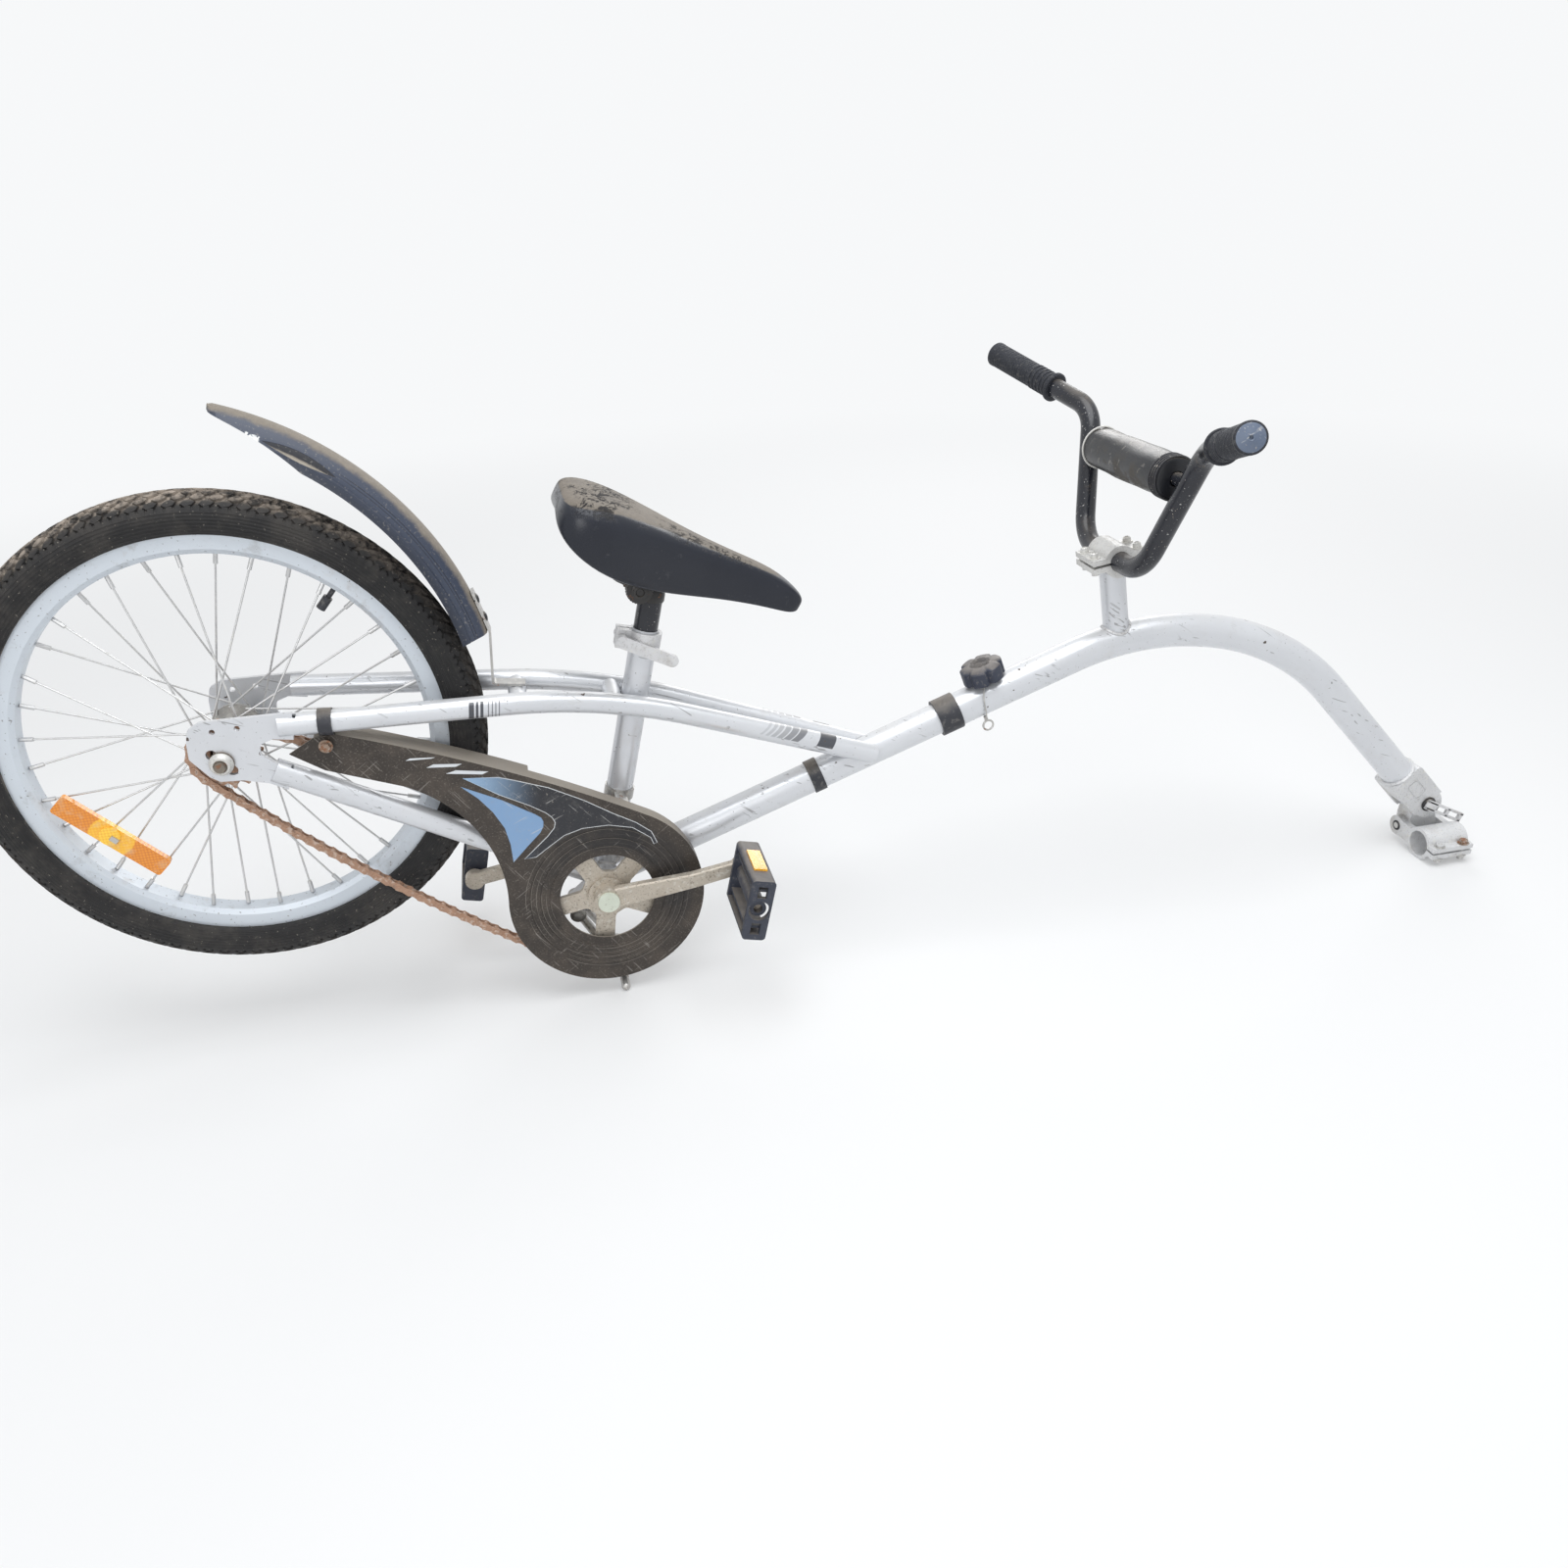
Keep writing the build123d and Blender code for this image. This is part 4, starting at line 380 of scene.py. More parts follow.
def chain_steel():
    """A dry chain under light brown rust."""
    f = Finish("rusty_steel")
    rust = f.mottled((0.47, 0.30, 0.21), (0.30, 0.17, 0.11), 170.0, 4.0, 0.65)
    bare = f.patches(0.54, 0.64, 240.0, 3.0)
    rust = f.mix(bare * 0.6, rust, (0.56, 0.46, 0.39))
    dark = f.patches(0.60, 0.72, 110.0, 3.0)
    rust = f.mix(dark * 0.6, rust, (0.07, 0.045, 0.035))
    return f.surface(rust, 0.62 - bare * 0.15, 0.15, f.bump(f.noise(700.0, 3.0), 0.0003, 0.6))


def guard_plastic():
    """Dark moulded plastic under brown dust, lightly scratched every way, its shoulder grey with dust."""
    f = Finish("guard_plastic")
    plastic = f.mottled((0.028, 0.024, 0.021), (0.062, 0.051, 0.043), 13.0, 3.0)
    film = f.patches(0.42, 0.66, 32.0, 5.0, 0.65)
    plastic = f.mix(film * 0.35, plastic, (0.12, 0.098, 0.08))
    grain = f.noise(520.0, 2.0, 0.6)
    plastic = f.mix(f.step(grain, 0.55, 0.72) * 0.4, plastic, (0.25, 0.22, 0.19))
    spot = f.bike()
    apart = f.node("ShaderNodeVectorMath", "Value", {"operation": "DISTANCE"}, {
        0: f.node("ShaderNodeVectorMath", 0, {"operation": "MULTIPLY"}, {0: spot, 1: (1.0, 0.0, 1.0)}),
        1: (BB[0], 0.0, BB[1])})
    ring = apart + f.noise(14.0, 3.0) * 0.8
    turned = 0.0
    for radius in (61.5, 66.0, 71.0, 76.5, 82.0, 87.5):
        groove = f.between(ring, radius, radius + 0.45, 0.25)
        turned = turned + groove * f.patches(0.34, 0.54, 30.0, 3.0)
    plastic = f.mix(turned * 0.5, plastic, (0.38, 0.345, 0.30))
    middle = BB[0] * 0.6 + BB[1]
    above = f.step(f.part("X", spot) * 0.6 + f.part("Z", spot), middle - 30.0, middle + 60.0)
    clean = above * 0.65 + f.patches(0.46, 0.62, 20.0, 4.0, 0.6) * 0.35
    worn = f.between(ring, 60.0, 92.0, 6.0) * clean
    plastic = f.mix(worn * 0.8, plastic, (0.018, 0.018, 0.020))
    marks = f.scratches(620.0, 0.665, (0.0, 0.6, 0.0)) + f.scratches(540.0, 0.67, (0.0, 2.2, 0.4))
    plastic = f.mix(marks * 0.3, plastic, (0.40, 0.37, 0.34))
    dust = f.step(f.up() + f.noise(60.0, 4.0) * 0.6, 0.62, 1.15)
    plastic = f.mix(dust * 0.75, plastic, (0.34, 0.305, 0.26))
    rough = 0.38 + film * 0.18 + dust * 0.3
    relief = grain * 0.4 + f.noise(90.0, 2.0) * 0.4 - turned * 0.4
    return f.surface(plastic, rough, 0.0, f.bump(relief, 0.0004, 0.5), Specular_IOR_Level=0.3)


# Marks on the mudguard: the sunken lens by its angle round the mudguard's centre, its depth below the crown
# and its half length and height, then the scuff by its distance behind the lens
RECESS_ANGLE = 64.0
RECESS_DEPTH = 14.0
RECESS_HALF = 36.0
RECESS_HIGH = 4.0
SCUFF_RUN = 41.0
SCUFF_LENGTH = 13.0


def mudguard_plastic():
    """Blue-grey plastic: brown dust along its crown, painted shade low on its flanks and along two pressed lines,
    a sunken lens near its tail darkened by painted shade, a white scuff.
    """
    f = Finish("mudguard_plastic")
    spot = f.bike()
    east = f.part("X", spot) - MUDGUARD_CENTRE[0]
    north = f.part("Z", spot) - MUDGUARD_CENTRE[1]
    reach = f.node("ShaderNodeMath", 0, {"operation": "SQRT"}, {0: east * east + north * north})
    depth = MUDGUARD_RADIUS - reach
    turn = f.node("ShaderNodeMath", 0, {"operation": "ARCTAN2"}, {0: north, 1: east})
    run = (turn - radians(RECESS_ANGLE)) * MUDGUARD_RADIUS
    plastic = f.mottled((0.036, 0.044, 0.068), (0.058, 0.070, 0.102), 16.0, 3.0)
    # Darker towards the hem: painted shade on the lower flanks.
    lower = f.step(depth, 13.0, 24.0)
    plastic = f.mix(lower * 0.6, plastic, (0.014, 0.016, 0.023))
    # Dark lines along the pressed lines below the crease: painted shade.
    for low, high in ((9.6, 10.1), (12.0, 12.4)):
        line = f.between(depth, low, high, 0.15) * (1.0 - f.step(run, -60.0, -20.0))
        plastic = f.mix(line, plastic, (0.008, 0.009, 0.012))
    share = run * (1.0 / RECESS_HALF)
    high = (1.0 - share * share) * RECESS_HIGH
    off = depth - RECESS_DEPTH
    inside = f.step(high - off.absolute(), -0.3, 0.3)
    # Darker inside the sunken lens: painted shade. The dust on its floor follows below.
    plastic = f.mix(inside * 0.9, plastic, (0.018, 0.018, 0.021))
    floor_dust = inside * f.step(off + f.noise(220.0, 3.0) * 1.6, 1.6, 3.2)
    crown = 1.0 - f.step(depth + f.noise(60.0, 5.0, 0.7) * 7.0, 4.2, 8.6)
    dust = f.mottled((0.30, 0.262, 0.212), (0.145, 0.124, 0.10), 160.0, 4.0, 0.7)
    colour = f.mix(crown * 0.9, plastic, dust)
    colour = f.mix(floor_dust * 0.9, colour, (0.34, 0.305, 0.255))
    grit = f.patches(0.60, 0.66, 380.0, 3.0, 0.7)
    colour = f.mix(grit * 0.35, colour, (0.34, 0.32, 0.29))
    scuff = f.between(run + f.noise(300.0, 3.0) * 5.0, SCUFF_RUN, SCUFF_RUN + SCUFF_LENGTH, 0.6)
    scuff = scuff * f.between(off + f.noise(260.0, 3.0) * 3.0, -0.8, 4.6, 0.5)
    scuff = scuff * f.patches(0.40, 0.48, 420.0, 2.0)
    colour = f.mix(scuff * 0.9, colour, (0.78, 0.79, 0.78))
    rough = 0.40 + crown * 0.3 + inside * 0.1
    relief = f.noise(500.0, 3.0) * (0.3 + crown * 0.5) - inside * 3.0
    return f.surface(colour, rough, 0.0, f.bump(relief, 0.0004, 0.5), Specular_IOR_Level=0.35)


def saddle_vinyl():
    """Black vinyl with a blue sheen, grey-brown dust on its flat top, cracked and creased at the tail."""
    f = Finish("saddle_vinyl")
    spot = f.bike()
    vinyl = f.mottled((0.010, 0.012, 0.019), (0.020, 0.023, 0.033), 22.0, 3.0)
    top = f.step(f.up() + f.noise(40.0, 4.0, 0.6) * 0.12, 0.80, 0.87)
    dust = f.mottled((0.235, 0.205, 0.17), (0.135, 0.117, 0.098), 240.0, 3.0, 0.7)
    streak = f.patches(0.52, 0.66, 30.0, 4.0, 0.6)
    dust = f.mix(streak * 0.35, dust, (0.075, 0.070, 0.068))
    colour = f.mix(top * 0.92, vinyl, dust)
    tail = 1.0 - f.step(f.part("X", spot), 372.0, 400.0)
    side = f.between(f.part("X", spot), 415.0, 520.0, 14.0)
    side = side * f.between(f.part("Y", spot), -40.0, -8.0, 4.0)
    crease = f.noise(120.0, 6.0, 0.75, f.stretched((1.0, 0.5, 1.0), (0.0, 0.0, 0.5)), 1.6)
    split = f.step(crease, 0.49, 0.55) * f.patches(0.42, 0.50, 24.0, 3.0)
    split = split * (tail + side * 0.9) * f.step(f.up(), 0.35, 0.6)
    colour = f.mix(split * 0.92, colour, (0.010, 0.010, 0.012))
    pale = f.patches(0.62, 0.70, 70.0, 4.0, 0.7) * 0.22
    colour = f.mix(pale, colour, (0.10, 0.10, 0.105))
    rough = 0.30 + top * 0.38 + split * 0.2
    relief = f.cells(900.0) * 0.25 + f.noise(95.0, 3.0) * 0.5 - split * 1.4
    return f.surface(colour, rough, 0.0, f.bump(relief, 0.0006, 0.55), coat=0.12 - top * 0.12,
                     Coat_Roughness=0.2, Specular_IOR_Level=0.3)


def pad_fabric():
    """A coated cover: glossy black, rubbed brown under its middle, its weave just showing."""
    f = Finish("pad_fabric")
    middle = f.between(f.part("Y", f.bike()), -62.0, 62.0, 22.0)
    low = 1.0 - f.step(f.up(), -0.1, 0.75)
    patches = f.patches(0.44, 0.58, 48.0, 5.0, 0.65) * (0.06 + middle * low * 0.94)
    cloth = f.mix(patches * 0.8, (0.007, 0.008, 0.011), (0.085, 0.077, 0.067))
    pale = f.patches(0.61, 0.64, 70.0, 4.0, 0.65, None, 0.6) * middle
    cloth = f.mix(pale * 0.5, cloth, (0.26, 0.245, 0.22))
    dust = f.step(f.up() + f.noise(50.0, 4.0) * 0.7, 1.05, 1.6)
    cloth = f.mix(dust * 0.35, cloth, DUST)
    relief = f.noise(60.0, 3.0) * 0.7
    for way in ("Y", "X"):
        thread = f.node("ShaderNodeTexWave", 1, {"bands_direction": way}, {
            "Vector": f.place, "Scale": 420.0, "Distortion": 0.6})
        relief = relief + thread * 0.2
    rough = 0.34 + patches * 0.36 + pale * 0.1
    return f.surface(cloth, rough, 0.0, f.bump(relief, 0.0004, 0.5), coat=0.2 - patches * 0.2,
                     Coat_Roughness=0.15, Specular_IOR_Level=0.35)


def grip_rubber():
    """Grip rubber with a small raised check between its ribs, dust caught in it."""
    f = Finish("grip_rubber")
    rubber = f.mottled((0.016, 0.018, 0.024), (0.036, 0.038, 0.046), 60.0, 3.0)
    dust = f.patches(0.54, 0.68, 210.0, 4.0, 0.7)
    rubber = f.mix(dust * 0.38, rubber, (0.17, 0.165, 0.155))
    check = f.cells(360.0, 0.0)
    return f.surface(rubber, 0.6, 0.0, f.bump(check + f.noise(300.0, 2.0) * 0.3, 0.0006, 0.6),
                     Specular_IOR_Level=0.3)


def black_plastic(name="black_plastic", low=(0.020, 0.021, 0.026), high=(0.050, 0.052, 0.062)):
    """Scuffed moulded plastic, dusty in its corners."""
    f = Finish(name)
    plastic = f.mottled(low, high, 55.0, 3.0)
    scuff = f.patches(0.54, 0.66, 150.0, 4.0, 0.7)
    plastic = f.mix(scuff * 0.4, plastic, (0.21, 0.20, 0.19))
    dust = f.step(f.up() + f.noise(80.0, 3.0) * 0.8, 0.8, 1.5)
    plastic = f.mix(dust * 0.45, plastic, DUST)
    relief = f.noise(420.0, 3.0) - scuff * 0.3
    return f.surface(plastic, 0.46 + scuff * 0.2, 0.0, f.bump(relief, 0.0004, 0.5), Specular_IOR_Level=0.35)


def amber(name="amber", bright=(0.95, 0.40, 0.025), deep=(0.66, 0.19, 0.012), middle=None):
    """Reflector plastic: small prisms under a clear face, a little faded, its middle perhaps yellow."""
    f = Finish(name)
    prisms = f.cells(330.0, 0.0)
    edges = f.step(prisms, 0.2, 0.75)
    colour = f.mix(edges, bright, deep)
    if middle:
        apart = f.node("ShaderNodeVectorMath", "Value", {"operation": "DISTANCE"}, {0: f.bike(), 1: middle})
        yellow = f.mix(edges, (0.98, 0.62, 0.05), (0.88, 0.42, 0.02))
        colour = f.mix(1.0 - f.step(apart, 21.0, 22.5), colour, yellow)
    dust = f.patches(0.5, 0.7, 90.0, 4.0, 0.6)
    colour = f.mix(dust * 0.35, colour, (0.66, 0.54, 0.36))
    return f.surface(colour, 0.22 + dust * 0.35, 0.0, f.bump(prisms, 0.0005, 0.6), coat=0.6,
                     Coat_Roughness=0.08)


def cast_alloy(name="cast_alloy", tone=(0.52, 0.50, 0.46), grime=0.5):
    """Cast aluminium, furred with pale oxide and grimy in its pits."""
    f = Finish(name)
    dark = tuple(part * 0.72 for part in tone)
    metal = f.mottled(tone, dark, 34.0, 4.0, 0.6)
    pits = f.patches(0.56, 0.66, 520.0, 3.0, 0.65)
    metal = f.mix(pits * grime, metal, (0.14, 0.12, 0.095))
    fur = f.patches(0.53, 0.66, 150.0, 4.0, 0.7)
    metal = f.mix(fur * 0.5, metal, (0.68, 0.67, 0.62))
    stain = f.patches(0.55, 0.72, 24.0, 4.0, 0.6)
    metal = f.mix(stain * 0.35, metal, (0.26, 0.215, 0.16))
    rough = 0.46 + fur * 0.2 + pits * 0.15
    return f.surface(metal, rough, 0.45 - fur * 0.3, f.bump(f.noise(640.0, 3.0) - pits * 0.5, 0.0005, 0.6))


def white_cap():
    """Off-white plastic with grey-green grime."""
    f = Finish("white_cap")
    plastic = f.mottled((0.66, 0.70, 0.60), (0.52, 0.56, 0.47), 70.0, 3.0)
    grime = f.patches(0.55, 0.68, 260.0, 4.0, 0.7)
    plastic = f.mix(grime * 0.5, plastic, (0.30, 0.29, 0.23))
    return f.surface(plastic, 0.5, 0.0, f.bump(f.noise(300.0, 3.0), 0.0003, 0.5))


def dark_nut():
    """Dirty flanged axle nuts and bolts, brown with grease."""
    f = Finish("greasy_steel")
    metal = f.mottled((0.30, 0.27, 0.23), (0.085, 0.065, 0.045), 90.0, 4.0, 0.65)
    rust = f.patches(0.52, 0.62, 160.0, 4.0, 0.7)
    metal = f.mix(rust * 0.75, metal, f.mottled(RUST, DARK_RUST, 400.0, 2.0))
    return f.surface(metal, 0.5 + rust * 0.25, 0.5 - rust * 0.4, f.bump(f.noise(420.0, 3.0), 0.0004, 0.7))


def film(name, colour, second=None, rough=0.25, coat=0.6, wear=0.5, fade=(0.0, 1.0)):
    """A printed sticker: one colour, or one that turns to a second along the bike, scratched and dulled."""
    f = Finish(name)
    tint = f.mix(f.step(f.part("X", f.bike()), *fade), colour, second or colour)
    haze = f.patches(0.50, 0.70, 90.0, 5.0, 0.7)
    tint = f.mix(haze * 0.22 * wear, tint, (0.33, 0.31, 0.28))
    marks = f.scratches(560.0, 0.665, (0.0, 0.7, 0.0)) + f.scratches(480.0, 0.67, (0.0, 2.0, 0.2))
    tint = f.mix(marks * wear, tint, (0.55, 0.54, 0.52))
    specks = f.patches(0.685, 0.71, 420.0, 2.0)
    tint = f.mix(specks * wear, tint, (0.42, 0.38, 0.33))
    relief = f.bump(f.noise(200.0, 2.0) - marks, 0.0002, 0.4)
    return f.surface(tint, rough + haze * 0.15, 0.0, relief, coat=coat, Coat_Roughness=0.1)


FINISHES = {
    "silver_paint": silver_paint(),
    "black_paint": worn_black_paint(),
    "black_steel": black_steel(),
    "tyre": tyre_rubber(),
    "rim": rim_metal(),
    "steel": plated_steel(),
    "rusty_steel": chain_steel(),
    "guard_plastic": guard_plastic(),
    "mudguard_plastic": mudguard_plastic(),
    "saddle_vinyl": saddle_vinyl(),
    "pad_fabric": pad_fabric(),
    "grip_rubber": grip_rubber(),
    "black_plastic": black_plastic(),
    "amber": amber(),
    "cast_alloy": cast_alloy(),
    "white_cap": white_cap(),
}
CRANK_ALLOY = cast_alloy("crank_alloy", (0.56, 0.50, 0.42), 0.65)
GREASY = dark_nut()
PEDAL_PLASTIC = black_plastic("pedal_plastic", (0.024, 0.028, 0.042), (0.060, 0.066, 0.088))
BARE_ALLOY = cast_alloy("bare_alloy", (0.74, 0.74, 0.75), 0.22)
BAR_CLAMP = cast_alloy("bar_clamp_alloy", (0.70, 0.695, 0.68), 0.4)
HITCH_ALLOY = cast_alloy("hitch_alloy", (0.74, 0.745, 0.755), 0.3)
PALE_BOLT = cast_alloy("pale_bolt", (0.72, 0.71, 0.68), 0.3)
STAY_PAINT = silver_paint("stay_paint", stay_marks)
WELDED = welded_paint()
BOLT_STEEL = plated_steel("bolt_steel", (0.62, 0.61, 0.59), 0.62)
RUSTY_BOLT = plated_steel("rusty_bolt", (0.36, 0.27, 0.21), 0.52)
BLACK_BOLT = black_plastic("black_bolt", (0.012, 0.012, 0.014), (0.035, 0.035, 0.038))
KNOB_PLASTIC = black_plastic("knob_plastic", (0.020, 0.024, 0.040), (0.052, 0.060, 0.086))
END_CAP = film("end_cap", (0.105, 0.135, 0.195), None, 0.45, 0.0, 0.5)
PIPING = film("piping", (0.62, 0.61, 0.58), None, 0.5, 0.0, 0.6)
STITCHING = film("stitching", (0.030, 0.030, 0.034), None, 0.6, 0.0, 0.8)
SPOKE_STEEL = plated_steel("spoke_steel", (0.72, 0.72, 0.72), 0.68)
SPOKE_LENS = amber("spoke_lens", middle=(-117.0, -18.0, -98.0))
PEDAL_LENS = amber("pedal_lens", (1.0, 0.52, 0.02), (0.85, 0.34, 0.012))

# Nodes whose finish differs from others of their slot
OWN_FINISH = {
    "crank_right": CRANK_ALLOY,
    "crank_left": CRANK_ALLOY,
    "chainring": CRANK_ALLOY,
    "axle": GREASY,
    "spokes": SPOKE_STEEL,
    "wheel_reflector": SPOKE_LENS,
    "pedal_reflectors_right": PEDAL_LENS,
    "pedal_reflectors_left": PEDAL_LENS,
    "pedal_right": PEDAL_PLASTIC,
    "pedal_left": PEDAL_PLASTIC,
    "seat_clamp": BARE_ALLOY,
    "bar_clamp": BAR_CLAMP,
    "hitch_fork": HITCH_ALLOY,
    "hitch_link": HITCH_ALLOY,
    "hitch_clamp": HITCH_ALLOY,
    "upper_stay_right": STAY_PAINT,
    "upper_stay_left": STAY_PAINT,
}
for entry in frame["record"]["subparts"]:
    finish = OWN_FINISH.get(entry["node"], FINISHES[entry["material_slot"]])
    frame["nodes"][entry["node"]].material_slots[0].material = finish


# Shapes
def piece(name, bm, finish, body, replaced=(), smooth=SMOOTH_ANGLE):
    """A finished mesh: parked, shaded, riding on its body."""
    bmesh.ops.transform(bm, matrix=TO_FRAME, verts=bm.verts)
    mesh = bpy.data.meshes.new(name)
    bm.to_mesh(mesh)
    bm.free()
    mesh.shade_smooth()
    mesh.set_sharp_from_angle(angle=smooth)
    mesh.materials.append(finish)
    made = bpy.data.objects.new(name, mesh)
    bpy.context.scene.collection.objects.link(made)
    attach(made, body)
    if replaced:
        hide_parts(*replaced)
    return made


def tidy(bm, gap=0.01):
    """Merges doubles and turns every face outwards."""
    bmesh.ops.remove_doubles(bm, verts=bm.verts, dist=gap)
    bmesh.ops.recalc_face_normals(bm, faces=bm.faces)


def facing(direction, place):
    """A matrix whose Z runs along a direction, set at a place."""
    turn = Vector(direction).to_track_quat("Z", "Y").to_matrix().to_4x4()
    return Matrix.Translation(Vector(place)) @ turn


def spin_ring(bm, profile, steps, matrix, closed=True):
    """Spins a profile of (radius, height) points all round Z, then sets it in place."""
    verts = [bm.verts.new((radius, 0.0, height)) for radius, height in profile]
    edges = [bm.edges.new(pair) for pair in zip(verts, verts[1:])]
    if closed:
        edges.append(bm.edges.new((verts[-1], verts[0])))
    bmesh.ops.spin(bm, geom=verts + edges, axis=(0, 0, 1), cent=(0, 0, 0), angle=2 * pi, steps=steps,
                   use_merge=True)
    reached = set(verts)
    front = list(verts)
    while front:
        vert = front.pop()
        for edge in vert.link_edges:
            other = edge.other_vert(vert)
            if other not in reached:
                reached.add(other)
                front.append(other)
    bmesh.ops.transform(bm, matrix=matrix, verts=list(reached))


def lathe(name, profile, steps, seat, finish, body, replaced=(), closed=True, smooth=SMOOTH_ANGLE):
    """A finished piece spun from one profile."""
    bm = bmesh.new()
    spin_ring(bm, profile, steps, seat, closed)
    tidy(bm)
    return piece(name, bm, finish, body, replaced, smooth)


def ring_points(count, radius, middle=0.0):
    """Points round a circle whose middle is set off along the first coordinate."""
    turns = [2 * pi * step / count for step in range(count)]
    return [(middle + radius * cos(turn), radius * sin(turn)) for turn in turns]


def rectangle(low, high, bottom, top):
    return [(low, bottom), (high, bottom), (high, top), (low, top)]


def block(bm, outline, height, taper, matrix, rounding=0.0):
    """A plate from a flat outline, raised along Z, its top drawn in by taper."""
    verts = [bm.verts.new((x, y, 0.0)) for x, y in outline]
    base = bm.faces.new(verts)
    made = bmesh.ops.extrude_face_region(bm, geom=[base])
    top = [part for part in made["geom"] if isinstance(part, bmesh.types.BMVert)]
    bmesh.ops.translate(bm, verts=top, vec=(0, 0, height))
    if taper != 1.0:
        bmesh.ops.scale(bm, verts=top, vec=(taper, taper, 1.0))
    everything = verts + top
    if rounding:
        rim_edges = {edge for vert in top for edge in vert.link_edges if edge.other_vert(vert) in top}
        cut = bmesh.ops.bevel(bm, geom=list(rim_edges), offset=rounding, segments=2, profile=0.5,
                              affect="EDGES", material=-1)
        everything = {vert for vert in everything + cut["verts"] if vert.is_valid}
    bmesh.ops.transform(bm, matrix=matrix, verts=list(everything))
    return list(everything)


def rod_mesh(points, radius, sides=10, closed=False, ripple=0.0):
    """A round rod along a path, as a bmesh. A ripple swells and narrows it, as a weld's beads do."""
    curve = bpy.data.curves.new("path", "CURVE")
    curve.dimensions = "3D"
    curve.bevel_depth = radius
    curve.bevel_resolution = max(0, sides // 4 - 1)
    curve.use_fill_caps = not closed
    spline = curve.splines.new("POLY")
    spline.points.add(len(points) - 1)
    for index, (spot, point) in enumerate(zip(spline.points, points)):
        spot.co = (*point, 1.0)
        spot.radius = 1.0 + ripple * (index % 2)
    spline.use_cyclic_u = closed
    holder = bpy.data.objects.new("path", curve)
    bpy.context.scene.collection.objects.link(holder)
    mesh = bpy.data.meshes.new_from_object(holder)
    bpy.data.objects.remove(holder)
    bm = bmesh.new()
    bm.from_mesh(mesh)
    bpy.data.meshes.remove(mesh)
    tidy(bm)
    return bm


# Tyre: a ribbed carcass with rows of slanted blocks that lean away from its middle
TREAD_ROWS = 7
TREAD_SPREAD = 51.0
TREAD_PITCHES = 94
TREAD_HEIGHT = 2.2
BLOCK_LEAN = 16.0
BLOCK_LENGTH = 14.6
BLOCK_WIDTH = 6.3
LUG = (6.4, 6.6)
LUG_LEAN = 65.0
CARCASS_TOP = TYRE_HALF - TREAD_HEIGHT
SECTION_RADIUS = TYRE_RADIUS - TYRE_HALF
WALL_RIBS = (72.0, 80.0, 88.0, 96.0, 105.0, 114.0, 123.0)
RIB_HEIGHT = 0.55


def tyre_profile():
    """Half of the carcass from the rim up to the crown, as (radius, y) with its small wall ribs."""
    points = [(RIM_RADIUS - 4.0, RIM_HALF - 2.4), (RIM_RADIUS + 0.4, RIM_HALF - 2.4)]
    wall = TYRE_HALF - RIB_HEIGHT

    def spot(angle, reach):
        return (SECTION_RADIUS + reach * cos(radians(angle)), reach * sin(radians(angle)))

    points.append(spot(131.0, wall))
    for rib in reversed(WALL_RIBS):
        points += [spot(rib + 2.6, wall), spot(rib + 1.4, TYRE_HALF), spot(rib - 1.4, TYRE_HALF),
                   spot(rib - 2.6, wall)]
    points += [spot(64.0, wall), spot(58.0, CARCASS_TOP)]
    points += [spot(angle, CARCASS_TOP) for angle in (45.0, 30.0, 15.0)]
    return points


def tyre():
    bm = bmesh.new()
    half = tyre_profile()
    crown = (SECTION_RADIUS + CARCASS_TOP, 0.0)
    profile = half + [crown] + [(radius, -y) for radius, y in reversed(half)]
    spin_ring(bm, profile, 144, Matrix.Rotation(radians(-90.0), 4, "X"))
    tidy(bm)
    long = BLOCK_LENGTH / 2
    wide = BLOCK_WIDTH / 2
    feather = [(-long, 0.6), (-long * 0.55, -wide), (long * 0.45, -wide), (long, -0.6), (long * 0.55, wide),
               (-long * 0.45, wide)]
    wedge = []
    for row in range(TREAD_ROWS):
        lean = -TREAD_SPREAD + row * 2 * TREAD_SPREAD / (TREAD_ROWS - 1)
        side = (lean > 1.0) - (lean < -1.0)
        shift = 180.0 / TREAD_PITCHES if row % 2 else 0.0
        seat = Matrix.Rotation(radians(shift), 4, "Y")
        seat = seat @ Matrix.Translation((0, 0, SECTION_RADIUS)) @ Matrix.Rotation(radians(lean), 4, "X")
        seat = seat @ Matrix.Translation((0, 0, CARCASS_TOP - 0.4))
        seat = seat @ Matrix.Rotation(radians(side * BLOCK_LEAN), 4, "Z")
        wedge += block(bm, feather, TREAD_HEIGHT + 0.25, 0.86, seat)
    lug = rectangle(-LUG[0] / 2, LUG[0] / 2, -LUG[1] / 2, LUG[1] / 2)
    for side in (-1, 1):
        for half_pitch in (0.0, 180.0 / TREAD_PITCHES):
            seat = Matrix.Rotation(radians(half_pitch), 4, "Y") @ Matrix.Translation((0, 0, SECTION_RADIUS))
            seat = seat @ Matrix.Rotation(radians(side * LUG_LEAN), 4, "X")
            seat = seat @ Matrix.Translation((0, 0, CARCASS_TOP - 0.2))
            wedge += block(bm, lug, TREAD_HEIGHT - 0.1, 0.8, seat)
    geom = set(wedge)
    for vert in wedge:
        geom.update(vert.link_edges)
        geom.update(vert.link_faces)
    turn = 2 * pi * (1 - 1 / TREAD_PITCHES)
    bmesh.ops.spin(bm, geom=list(geom), axis=(0, 1, 0), cent=(0, 0, 0), angle=turn,
                   steps=TREAD_PITCHES - 1, use_duplicate=True)
    bmesh.ops.recalc_face_normals(bm, faces=bm.faces)
    piece("tyre_tread", bm, FINISHES["tyre"], "wheel", ["tyre"], radians(30.0))


# Chain: waisted plates, rollers and riveted pins at every pitch
SLACK_LOW = 400.0
SLACK_HIGH = 60000.0
PLATE_HALF = 4.3
PLATE_WAIST = 3.0
PLATE_THICK = 1.1
INNER_HALF_GAP = 1.8


